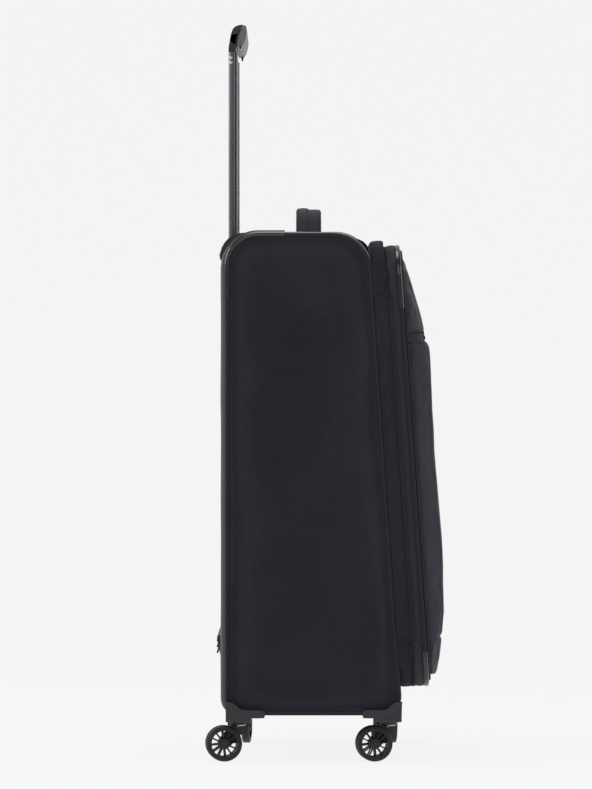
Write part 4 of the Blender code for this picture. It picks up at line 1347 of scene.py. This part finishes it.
    def build_lining(self) -> None:
        """Board, lining and net pocket on the inside of the lid."""
        def place(x: float, length: float, offset: float) -> Vector:
            return FRONT.at(x, offset, length)

        half, low, high, radius = LID_HALF - 4 * MM, LID_LINE.low + 4 * MM, LID_LINE.high - 4 * MM, 38 * MM
        outline = rounded(rectangle(-half, low, half, high, radius), 8)
        board = as_piece("lid_lining", plate(outline, place, 31.5 * MM, 35 * MM), WARDROBE.lining)
        fit(board, "lid", "shell_fabric", "lid_panel")
        net_half, net_low, net_high = half - 34 * MM, low + 40 * MM, low + 360 * MM
        net = rounded([(-net_half, net_low, 12 * MM), (net_half, net_low, 12 * MM),
                       (net_half, net_high, 4 * MM),
                       (-net_half, net_high, 4 * MM)], 5)
        fit(as_piece("lid_net", plate(net, place, 30.2 * MM, 30.8 * MM), WARDROBE.net), "lid",
            "pocket_fabric")
        path = lay(net, lambda x, s: FRONT.at(x, 30.4 * MM, s))
        hem = as_piece("lid_net_hem", swept(path, box_section(-5, -0.9, 1, 0.9, 0.5), FRONT.forwards),
                       WARDROBE.webbing, crease=50)
        fit(hem, "lid", "pocket_fabric")

    def build(self) -> None:
        """Build the whole lid."""
        self.build_wall()
        self.build_front()
        self.build_pockets()
        self.build_seams()
        self.build_pocket_zipper()
        self.build_fold()
        self.build_lining()


# ---------------------------------------------------------------- mouldings, handles and metal


def depth_y(depth: float) -> float:
    """y of a depth in millimetres in front of the back face."""
    return BACK - depth * MM


def side_plate(name: str, outline: Section, near: float, far: float, finish: Finish, bevel: float) -> Piece:
    """Slab of a profile (depth, height in millimetres) between two X planes, its edges rounded."""
    points = [Vector((depth_y(depth), height * MM)) for depth, height in outline]
    return soften(as_piece(name, plate(points, lambda a, b, c: Vector((c, a, b)), near, far), finish),
                  bevel * MM)


def box_piece(name: str, low: Sequence[float], high: Sequence[float], finish: Finish, bevel: float = 0.0,
              corner: float = 0.0) -> Piece:
    """Box between two corners, its upright edges rounded by corner and all edges by bevel."""
    outline = rounded(rectangle(low[0], low[1], high[0], high[1], corner), 5)
    piece = as_piece(name, plate(outline, lambda a, b, c: Vector((a, b, c)), low[2], high[2]), finish)
    return soften(piece, bevel) if bevel else piece


def copy_of(node: str, name: str, finish: Finish, bevel: float = 0.0) -> Piece:
    """A CAD node's own shape with its edges rounded and another finish."""
    shape = bmesh.new()
    shape.from_mesh(frame["nodes"][node].data)
    bmesh.ops.remove_doubles(shape, verts=shape.verts, dist=1e-6)
    bmesh.ops.dissolve_limit(shape, angle_limit=radians(1), verts=shape.verts, edges=shape.edges)
    piece = as_piece(name, shape, finish, crease=30)
    return soften(piece, bevel, 2) if bevel else piece


def cut(piece: Piece, low: Sequence[float], high: Sequence[float]) -> Piece:
    """Cut a box out of a piece."""
    return cut_with(piece, box_piece("tool", low, high, WARDROBE.moulding))


@dataclass(frozen=True)
class Radial:
    """Bars that stand round a centre: the spokes of a wheel, or the knurls of a cap."""

    count: int
    inner: float
    outer: float
    width: float
    depth: float

    def pattern(self) -> Pattern:
        """Node tree that puts a bar on each point of a circle."""
        pattern = Pattern("radial_bars", ("Radius", "Length", "Width", "Depth"), "Count")
        add, join, inputs = pattern.add, pattern.join, pattern.inputs
        circle, bar = add("GeometryNodeMeshCircle"), add("GeometryNodeMeshCube")
        join(inputs["Count"], circle.inputs["Vertices"])
        join(inputs["Radius"], circle.inputs["Radius"])
        join(pattern.triple("Length", "Width", "Depth"), bar.inputs["Size"])
        place, turn = add("GeometryNodeInputPosition"), add("FunctionNodeAlignEulerToVector")
        turn.axis = "X"
        join(place.outputs["Position"], turn.inputs["Vector"])
        pattern.place(circle.outputs["Mesh"], bar.outputs["Mesh"], turn.outputs["Rotation"])
        return pattern

    def around(self, name: str, centre: Vector, axis: Vector, finish: Finish) -> Piece:
        """Stand the bars round a centre, square to an axis."""
        piece = bpy.data.objects.new(name, bpy.data.meshes.new(name))
        bpy.context.scene.collection.objects.link(piece)
        sizes = {"Radius": (self.inner + self.outer) / 2, "Length": self.outer - self.inner,
                 "Width": self.width,
                 "Depth": self.depth, "Count": self.count}
        self.pattern().run(piece, finish, sizes)
        soften(piece, min(self.width, self.depth) * 0.25, 2)
        turn = Z_AXIS.rotation_difference(axis).to_matrix().to_4x4()
        piece.data.transform(Matrix.Translation(centre) @ turn)
        return piece


def screw(name: str, centre: Vector, axis: Vector, radius: float = 3.2 * MM,
          finish: Finish = Wardrobe.steel) -> Piece:
    """Domed screw or rivet head with a recess at its middle."""
    r = radius
    profile = [(-0.6 * MM, 0.0), (-0.6 * MM, r), (0.15 * MM, r), (0.55 * r * 0.6, r * 0.72),
               (r * 0.42, r * 0.4),
               (r * 0.42, r * 0.3), (r * 0.12, r * 0.26), (r * 0.12, 0.0)]
    return as_piece(name, turned(profile, centre, axis, 24), finish, crease=50)


@dataclass
class GrabHandle:
    """Padded strap over the middle of the top, sewn along its middle and into two end patches."""

    reach: float = 105.5 * MM
    top: float = 776.2 * MM
    middle: float = 124.0

    def build(self) -> None:
        """Build strap, seam and end patches."""
        mm = MM
        y = depth_y(self.middle)
        corners = [(-self.reach - 3 * mm, 742.5 * mm, 0), (-self.reach + 7 * mm, self.top, 24 * mm),
                   (self.reach - 7 * mm, self.top, 24 * mm), (self.reach + 3 * mm, 742.5 * mm, 0)]
        path = lay(rounded(corners, 12, (4, 28, 4), True), lambda x, z: Vector((x, y, z)))
        half = [(-4.4, -16.4), (-4.6, -9), (-4.6, 9), (-4.4, 16.4), (-2.6, 18), (1.0, 18), (3.6, 16.4),
                (4.9, 12.6), (5.1, 8),
                (4.9, 3.4), (3.7, 0.9), (3.3, 0), (2.7, -0.9), (3.0, -3), (3.1, -9), (2.9, -14),
                (1.2, -17.4), (-2.6, -18)]
        flip = 1 if (path[1] - path[0]).cross(Y_AXIS).x < 0 else -1
        strap = as_piece("strap", swept(path, [(a * mm * flip, b * mm) for a, b in half], Y_AXIS, False),
                         WARDROBE.webbing)
        subdivide(strap)
        crumple(strap, 0.5 * mm, 18 * mm, 12.0)
        rows = []
        for along, height in ((-15.2, 3.1), (15.6, 4.2), (2.6, 4.9)):
            line = swept_rows(path, [(height * mm * flip, along * mm)], Y_AXIS, False)
            rows.append(([row[0] for row in line], self.outs(line, path)))
        thread = STITCHES.along("strap_thread", rows, WARDROBE.thread)
        fit(joined("grab_strap", [strap, thread]), "root", "pocket_fabric", "grab_handle")
        patches = []
        for side in Side:
            x = side.value * (self.reach + 12 * mm)
            low, high = (x - 24 * mm, y - 21 * mm, 741.5 * mm), (x + 24 * mm, y + 21 * mm, 744.2 * mm)
            patches.append(box_piece("patch", low, high, WARDROBE.binding, 0.8 * mm, 5 * mm))
        fit(joined("grab_patches", patches), "root", "piping_trim")

    @staticmethod
    def outs(rows: Sequence[Path], path: Path) -> Path:
        """Directions from the strap's middle line to its surface."""
        return [(row[0] - point).cross(Y_AXIS).cross(-Y_AXIS).normalized() for row, point in zip(rows, path)]


@dataclass
class BackMouldings:
    """Bezel that the tubes come out of, and the skid low on the back."""

    def build(self) -> None:
        """Build both, with their screws and ribs."""
        bezel = copy_of("handle_bezel", "bezel_moulding", WARDROBE.moulding, 0.7 * MM)
        for side in Side:
            near, far = sorted((side.value * 135 * MM, side.value * 137.6 * MM))
            cut(bezel, (near, depth_y(13.2) - 3 * MM, 690 * MM), (far, depth_y(13.2) + 3 * MM, 770 * MM))
        screws = [screw("head", Vector((side.value * x * MM, BACK + 2.0 * MM, z * MM)), Y_AXIS)
                  for side in Side for x, z in ((143, 713), (62, 713))]
        fit(joined("bezel", [bezel, *screws]), "root", "moulding", "handle_bezel")
        skid = copy_of("rear_skid", "skid_moulding", WARDROBE.moulding, 1.2 * MM)
        low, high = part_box("rear_skid")
        ribs = []
        for step in range(3):
            z = low[2] + (high[2] - low[2]) * (step + 1) / 4
            ribs.append(box_piece("rib", (low[0] + 24 * MM, high[1] - 1.5 * MM, z - 1.4 * MM),
                                  (high[0] - 24 * MM, high[1] + 0.8 * MM, z + 1.4 * MM), WARDROBE.moulding,
                                  0.5 * MM))
        fit(joined("skid", [skid, *ribs]), "root", "moulding", "rear_skid")


@dataclass
class Trolley:
    """Telescopic handle: tubes, grip, push button, rods, pins and the bracket at the feet."""

    reach: float = 137.3 * MM
    leg: float = 25.0 * MM

    def build_grip(self) -> None:
        """Grip: glossy back shell with two legs, and the paler front that the fingers close round."""
        band = [(9.8, 1000.6), (10.1, 1007.9), (11.6, 1016.6), (13.4, 1026.0), (16.0, 1033.2),
                (19.5, 1036.9), (25.0, 1038.9),
                (30.3, 1039.6), (30.9, 1038.9), (27.5, 1034.6), (24.8, 1028.3), (22.0, 1018.9),
                (20.6, 1009.4), (20.8, 1000.6)]
        cover = [(21.6, 1009.6), (22.9, 1018.6), (25.6, 1027.9), (28.3, 1034.0), (31.4, 1038.4),
                 (33.4, 1038.9), (35.2, 1037.0),
                 (36.1, 1032.3), (35.4, 1025.2), (33.9, 1018.9), (31.9, 1013.4), (29.6, 1010.2)]
        heel = [(25.8, 1010.8), (29.4, 1010.8), (27.8, 1003.4), (25.6, 1005.6)]
        shell = [side_plate("middle", [p for p in band if p[1] > 1009], -self.reach, self.reach,
                            WARDROBE.gloss, 1.2)]
        for side in Side:
            near, far = sorted((side.value * self.reach, side.value * (self.reach - self.leg)))
            shell.append(side_plate("leg", [p for p in band if p[1] < 1030], near, far, WARDROBE.gloss, 1.2))
            shell.append(side_plate("heel", heel, near + 3 * MM, far - 3 * MM, WARDROBE.gloss, 0.6))
        middle = corner_of("grip_cover", 1, 1)
        low = (-18.4 * MM, middle - 4.2 * MM, 1018 * MM)
        high = (18.4 * MM, middle + 4.2 * MM, 1060 * MM)
        front = side_plate("grip_front", cover, -self.reach + 0.4 * MM, self.reach - 0.4 * MM, WARDROBE.grip,
                           2.2)
        whole = joined("grip_back", shell)
        for piece in (whole, front):
            cut(piece, low, high)
        fit(whole, "trolley", "gloss_moulding", "grip_shell")
        fit(front, "trolley", "grip_moulding", "grip_cover")

    def build_tube(self, side: Side) -> None:
        """Inner tube: a fluted profile with a flat rib along its front."""
        node = f"inner_tube_{side.word}"
        low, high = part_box(node)
        middle = (low[0] + high[0]) / 2
        half, depth = (high[0] - low[0]) / 2, high[1] - low[1]
        flutes = [(0.0, 0.30), (0.01, 0.62), (0.06, 0.86), (0.16, 0.97), (0.32, 1.0), (0.48, 0.985),
                  (0.6, 0.95), (0.68, 0.88),
                  (0.70, 0.74), (0.74, 0.70), (0.78, 0.74), (0.80, 0.84), (0.90, 0.86), (0.98, 0.80),
                  (1.0, 0.55), (1.0, 0.30)]
        outline = [(half * share, high[1] - depth * along) for along, share in flutes]
        outline = [*outline, *((-x, y) for x, y in reversed(outline))]
        wall = [(x * 0.72, low[1] + 2 * MM + (y - low[1]) * (depth - 4 * MM) / depth) for x, y in outline]

        def ring(points: Section, z: float) -> Path:
            return [Vector((middle + x, y, z)) for x, y in points]

        rows = [ring(outline, low[2]), ring(outline, high[2]), ring(wall, high[2]), ring(wall, low[2])]
        piece = as_piece(f"{node}_drawn", lofted(rows, True, True), WARDROBE.tube, crease=28)
        fit(piece, "trolley", "tube_metal", node)

    def build_metal(self) -> None:
        """Tubes, rods, pins, bracket and rivets."""
        for side in Side:
            name = side.word
            outer = f"outer_tube_{name}"
            fit(copy_of(outer, f"{outer}_drawn", WARDROBE.tube, 0.5 * MM), "root", "tube_metal", outer)
            self.build_tube(side)
            fit(copy_of(f"push_rod_{name}", f"push_rod_{name}_bar", WARDROBE.bright), "button", "steel",
                f"push_rod_{name}")
            pin = f"lock_pin_{name}"
            fit(copy_of(pin, f"{pin}_turned", WARDROBE.bright), pin, "steel", pin)
            face = side.value * 136.0 * MM
            heads = [screw("rivet", Vector((face, depth_y(13.2), z * MM)), X_AXIS * side.value, 2.4 * MM,
                           WARDROBE.bright)
                     for z in (992.9, 985.8)]
            fit(joined(f"tube_rivets_{name}", heads), "trolley", "steel")
        fit(copy_of("tube_foot_bracket", "foot_bracket", WARDROBE.steel, 0.8 * MM), "root", "steel",
            "tube_foot_bracket")

    def build(self) -> None:
        """Build the whole handle."""
        self.build_grip()
        self.build_metal()
        fit(copy_of("handle_button", "push_button", WARDROBE.gloss, 0.8 * MM), "button", "gloss_moulding",
            "handle_button")


@dataclass
class Caster:
    """One twin-wheel caster with the guard that holds it."""

    corner: str
    spokes: Radial = field(default_factory=lambda: Radial(12, 6.4 * MM, 18.8 * MM, 1.7 * MM, 6.4 * MM))

    def build_wheel(self, letter: str) -> None:
        """Rounded tyre, rim, see-through spokes and hub disc of one wheel."""
        turn = joint(f"spin_{self.corner}_{letter}")
        centre, axis = Vector(turn["pos_m"]), Vector(turn["axis"])
        tread = [(-5.2, 20.4), (-5.6, 22.4), (-5.1, 24.0), (-3.6, 24.9), (-0.8, 25.0), (-0.4, 24.5),
                 (0.4, 24.5), (0.8, 25.0),
                 (3.6, 24.9), (5.1, 24.0), (5.6, 22.4), (5.2, 20.4)]
        body = f"wheel_{self.corner}_{letter}"
        tyre = as_piece(f"{body}_tread", turned(in_mm(tread), centre, axis, 56, True),
                        WARDROBE.tyre, crease=40)
        fit(tyre, body, "tyre", f"wheel_tyre_{self.corner}_{letter}")
        rim = [(-5.2, 18.2), (-5.8, 18.8), (-5.9, 20.4), (-5.0, 21.2), (5.0, 21.2), (5.9, 20.4), (5.8, 18.8),
               (5.2, 18.2)]
        ring = as_piece("ring", turned(in_mm(rim), centre, axis, 56, True), WARDROBE.wheel, crease=40)
        disc = [(-5.6, 2.4), (-6.0, 4.6), (-5.7, 6.8), (-4.6, 7.6), (4.6, 7.6), (5.7, 6.8), (6.0, 4.6),
                (5.6, 2.4)]
        hub = as_piece("hub", turned(in_mm(disc), centre, axis, 40, True), WARDROBE.wheel, crease=40)
        bars = self.spokes.around("bars", centre, axis, WARDROBE.wheel)
        fit(joined(f"{body}_rim", [ring, hub, bars]), body, "moulding", f"wheel_hub_{self.corner}_{letter}")

    def build_fork(self) -> None:
        """Carrier, its bright washer and the axle."""
        corner = self.corner
        fork = copy_of(f"caster_fork_{corner}", "fork", WARDROBE.moulding, 0.7 * MM)
        swivel = Vector(joint(f"swivel_{corner}")["pos_m"])
        washer = [(49.9, 5.0), (49.9, 9.6), (50.9, 10.2), (50.9, 5.0)]
        nut = [(44.6, 0.0), (44.6, 4.2), (49.9, 4.6), (49.9, 0.0)]
        foot = Vector((swivel.x, swivel.y, 0))
        trim = [as_piece("washer", turned(in_mm(washer), foot, Z_AXIS, 32, True), WARDROBE.bright),
                as_piece("nut", turned(in_mm(nut), foot, Z_AXIS, 6), WARDROBE.bright)]
        fit(joined(f"caster_carrier_{corner}", [fork, *trim]), f"caster_{corner}", "moulding",
            f"caster_fork_{corner}")
        axle = copy_of(f"caster_axle_{corner}", f"axle_{corner}", WARDROBE.wheel, 0.3 * MM)
        fit(axle, f"caster_{corner}", "steel", f"caster_axle_{corner}")

    def build_guard(self) -> None:
        """Sculpted corner guard: a block round the stem and a creased flange up the side."""
        swivel = Vector(joint(f"swivel_{self.corner}")["pos_m"])
        side = 1 if swivel.x > 0 else -1
        heel = 1 if self.corner.startswith("back") else -1
        stem = (BACK - swivel.y) / MM

        def at(outline: Section) -> Section:
            return [(stem - heel * along, height) for along, height in outline]

        flange = [(18.9, 85.2), (9.2, 84.4), (4.6, 81.6), (-2.0, 75.4), (-8, 73.6), (-33, 73.2), (-36.6, 71),
                  (-37.4, 66),
                  (-36.4, 62.2), (-24, 61.8), (-10, 62.6), (2, 64.6), (9.6, 69.6), (14.2, 76)]
        wall = [(18.3, 84.0), (17.4, 58.4), (16.4, 57.2), (-14, 57.2), (-18, 61), (-24, 63.6), (-10, 67),
                (4, 72), (12, 80)]
        outer = side * 236.7 * MM
        flange_x = sorted((outer, side * 228.6 * MM))
        wall_x = sorted((outer - side * 2.0 * MM, side * 228.6 * MM))
        parts = [side_plate("flange", at(flange), *flange_x, WARDROBE.moulding, 1.1),
                 side_plate("wall", at(wall), *wall_x, WARDROBE.moulding, 0.9)]
        xs = sorted((side * 182 * MM, side * 234.6 * MM))
        ys = sorted((swivel.y + heel * 17.8 * MM, swivel.y - heel * 17.8 * MM))
        block = box_piece("block", (xs[0], ys[0], 56.4 * MM), (xs[1], ys[1], 65.6 * MM), WARDROBE.moulding,
                          1.0 * MM, 5 * MM)
        cut(block, (swivel.x - 5.3 * MM, swivel.y - 5.3 * MM, 50 * MM),
            (swivel.x + 5.3 * MM, swivel.y + 5.3 * MM, 64.6 * MM))
        parts.append(block)
        place = Vector((outer, swivel.y - heel * 31 * MM, 67.6 * MM))
        parts.append(screw("head", place, X_AXIS * side, 2.3 * MM, WARDROBE.moulding))
        fit(joined(f"guard_{self.corner}", parts), "root", "moulding", f"corner_guard_{self.corner}")

    def build(self) -> None:
        """Build guard, carrier and both wheels."""
        self.build_guard()
        self.build_fork()
        for letter in "ab":
            self.build_wheel(letter)


@dataclass
class ZipperHardware:
    """Slider with a bridge, and a pull with a hole and a soft-edged tab."""

    def build_pair(self, name: str, out: Vector, down: Vector) -> None:
        """One slider and its pull; out points off the tape, down along the hanging pull."""
        body = copy_of(f"{name}_zip_slider", "body", WARDROBE.steel, 0.5 * MM)
        pull_joint = Vector(joint(f"{name}_zip_pull_flip")["pos_m"])
        across = out.cross(down).normalized()
        path = [pull_joint - down * 3.6 * MM - out * 2.0 * MM, pull_joint - down * 3.0 * MM + out * 0.9 * MM,
                pull_joint + down * 1.6 * MM + out * 0.9 * MM, pull_joint + down * 2.2 * MM - out * 2.0 * MM]
        section = box_section(-0.45, -0.9, 0.45, 0.9, 0.2)
        bridge = as_piece("bridge", swept(path, section, across, False), WARDROBE.steel)
        fit(joined(f"{name}_slider_body", [body, bridge]), f"{name}_zip_slider", "steel",
            f"{name}_zip_slider")
        low, high = (Vector(corner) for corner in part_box(f"{name}_zip_pull"))
        middle = (low + high) / 2
        length = abs((high - low).dot(down)) / 2 + 1.2 * MM
        width, thick = abs((high - low).dot(across)) / 2, abs((high - low).dot(out)) / 2 * 0.8

        def ring(scale: float, a0: float, a1: float, height: float) -> Path:
            corners = rectangle(-width * scale, a0, width * scale, a1, 1.2 * MM)
            return lay(rounded(corners, 5), lambda a, b: middle + across * a + down * b + out * height)

        rows = [ring(1, -length, length, -thick), ring(1, -length, length, thick),
                ring(0.55, -length + 1.6 * MM, -length * 0.2, thick),
                ring(0.55, -length + 1.6 * MM, -length * 0.2, -thick)]
        plate_piece = as_piece("tab", lofted(rows, True, True), WARDROBE.steel, crease=30)
        soften(plate_piece, 0.25 * MM, 2)
        fit(joined(f"{name}_pull_tab", [plate_piece]), f"{name}_zip_pull", "steel", f"{name}_zip_pull")

    def build(self) -> None:
        """Build both pairs."""
        self.build_pair("main", X_AXIS.copy(), -FRONT.up)
        self.build_pair("pocket", FRONT.forwards, -FRONT.up)


@dataclass
class Interior:
    """Lining of the case and the crossed packing straps with their buckle."""

    inset: float = 8.0 * MM
    strap_gap: float = 34 * MM
    strap_reach: float = 190 * MM
    strap_ends: tuple[float, float] = (120 * MM, 690 * MM)
    strap_steps: int = 12
    buckle: tuple[float, float, float] = (22 * MM, 385 * MM, 425 * MM)

    def build_side_linings(self) -> None:
        """Lining inside both side panels."""
        shell = CaseShell()
        outline = shell.line(Inset(self.inset, self.inset, 2 * MM, self.inset), 4 * MM)
        sides = []
        for side in Side:
            x = side.value * (HALF_WIDTH - 6.5 * MM)
            lining = plate(outline, lambda a, b, c: Vector((c, a, b)), *sorted((x, x + side.value * MM)))
            sides.append(as_piece("side", lining, WARDROBE.lining))
        fit(joined("side_linings", sides), "root", "shell_fabric")

    def build_band_lining(self) -> None:
        """Lining inside the band of fabric."""
        low, high = SHELL_LOW + self.inset, SHELL_HIGH - self.inset
        corners = [(FRONT.y_at(108 * MM, -3 * MM), 106 * MM, 0), (FRONT.y_at(low, -3 * MM), low, 20 * MM),
                   (BACK - self.inset, low, 18 * MM), (BACK - self.inset, high, 40 * MM),
                   (FRONT.y_at(high, -3 * MM), high, 24 * MM), (FRONT.y_at(700 * MM, -3 * MM), 712 * MM, 0)]
        way = rounded(corners, 8, (2, 12, 40, 12, 2), True)
        reach = HALF_WIDTH - 7 * MM
        rows = [[Vector((x, p.x, p.y)) for p in way] for x in (-reach, -reach / 2, 0, reach / 2, reach)]
        band = as_piece("band_lining", lofted(rows, False), WARDROBE.lining, HEART)
        thicken(band, 0.8 * MM)
        fit(band, "root", "shell_fabric")

    def build_straps(self) -> None:
        """Two straps that cross at a buckle."""
        straps = []
        y = BACK - self.inset - self.strap_gap
        low, high = self.strap_ends
        for sign in (-1, 1):
            start = Vector((sign * self.strap_reach, y, low))
            end = Vector((-sign * self.strap_reach, y - 1.5 * MM * sign, high))
            path = [start.lerp(end, step / self.strap_steps) for step in range(self.strap_steps + 1)]
            strap = swept(path, box_section(-12, -0.6, 12, 0.6, 0.4), Y_AXIS, False)
            straps.append(as_piece("strap", strap, WARDROBE.webbing))
        half, foot, top = self.buckle
        straps.append(box_piece("buckle", (-half, y - 6 * MM, foot), (half, y + 3 * MM, top),
                                WARDROBE.moulding,
                                1.6 * MM, 6 * MM))
        fit(joined("packing_straps", straps), "root", "pocket_fabric")

    def build(self) -> None:
        """Build linings and straps."""
        self.build_side_linings()
        self.build_band_lining()
        self.build_straps()


# ---------------------------------------------------------------- the light, the floor and the camera


@dataclass(frozen=True)
class Studio:
    """Pale studio: sheet floor, soft lights and a long lens level with the case's middle."""

    pale: float = 0.913
    fill: float = 0.25
    bounce: float = 0.07
    glow: float = 0.05
    camera_at: tuple[float, float, float] = (-7.43, 0.038, 0.515)
    lens: float = 234.7

    def light(self, name: str, place: tuple[float, float, float], size: float, power: float,
              aim: tuple[float, float, float]) -> None:
        """Soft square light that faces a point."""
        data = bpy.data.lights.new(name, "AREA")
        data.size, data.energy = size, power
        lamp = bpy.data.objects.new(name, data)
        lamp.location = place
        lamp.rotation_euler = (Vector(aim) - Vector(place)).to_track_quat("-Z", "Y").to_euler()
        bpy.context.scene.collection.objects.link(lamp)
        lamp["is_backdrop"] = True

    def build_sweep(self) -> None:
        """Pale sheet that lies on the floor and curves up behind, softly lit from within."""
        way = rounded([(-12, 0, 0), (6, 0, 4), (6, 14, 0)], 24, (4, 4), True)
        rows = [[Vector((p.x, y, p.y)) for p in way] for y in (-16, 0, 16)]
        sweep = as_piece("sweep", lofted(rows, False), Moulding("sweep_paper", (self.bounce,) * 3, 0.95),
                         Vector((-3, 0, -9)), 180)
        shader = sweep.data.materials[0].node_tree.nodes["Principled BSDF"]
        shader.inputs["Emission Color"].default_value = (1, 1, 1, 1)
        shader.inputs["Emission Strength"].default_value = self.pale - self.glow
        shader.inputs["Specular IOR Level"].default_value = 0
        sweep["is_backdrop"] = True

    def build(self) -> None:
        """Build floor, world, lights and camera."""
        scene = bpy.context.scene
        scene.view_settings.view_transform = "Standard"
        world = bpy.data.worlds.new("studio")
        world.use_nodes = True
        backdrop = world.node_tree.nodes["Background"]
        backdrop.inputs["Color"].default_value = (0.93, 0.95, 1.0, 1)
        backdrop.inputs["Strength"].default_value = self.fill
        scene.world = world
        self.build_sweep()
        self.light("side", (-4.2, 0.6, 2.6), 2.6, 26, (0, 0, 0.45))
        self.light("back", (-0.8, 3.4, 1.9), 1.8, 60, (0, 0.1, 0.5))
        self.light("front", (-1.0, -3.4, 1.7), 1.6, 34, (0, -0.1, 0.4))
        self.light("top", (-0.2, 0.3, 3.2), 1.4, 26, (0, 0, 0.8))
        data = bpy.data.cameras.new("camera")
        data.sensor_fit, data.sensor_height, data.lens = "VERTICAL", 36, self.lens
        camera = bpy.data.objects.new("camera", data)
        camera.location = self.camera_at
        camera.rotation_euler = (radians(90), 0, radians(-90))
        scene.collection.objects.link(camera)
        scene.camera = camera


def size_line(label: str, pair: Sequence[Sequence[float]]) -> str:
    """One plain line with a box's size in millimetres."""
    low, high = pair
    return f"{label}: " + " x ".join(f"{(b - a) * 1000:.1f}" for a, b in zip(low, high))


def main() -> None:
    """Build every piece and the studio."""
    logging.basicConfig(level=logging.INFO, format="%(message)s")
    CaseShell().build()
    RimAndZipper().build()
    Lid().build()
    GrabHandle().build()
    BackMouldings().build()
    Trolley().build()
    for corner in ("back_left", "front_left", "back_right", "front_right"):
        Caster(corner).build()
    ZipperHardware().build()
    Interior().build()
    Studio().build()
    size_line("CAD", CAD_BOX)
    size_line("visual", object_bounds())


if __name__ == "__main__":
    main()
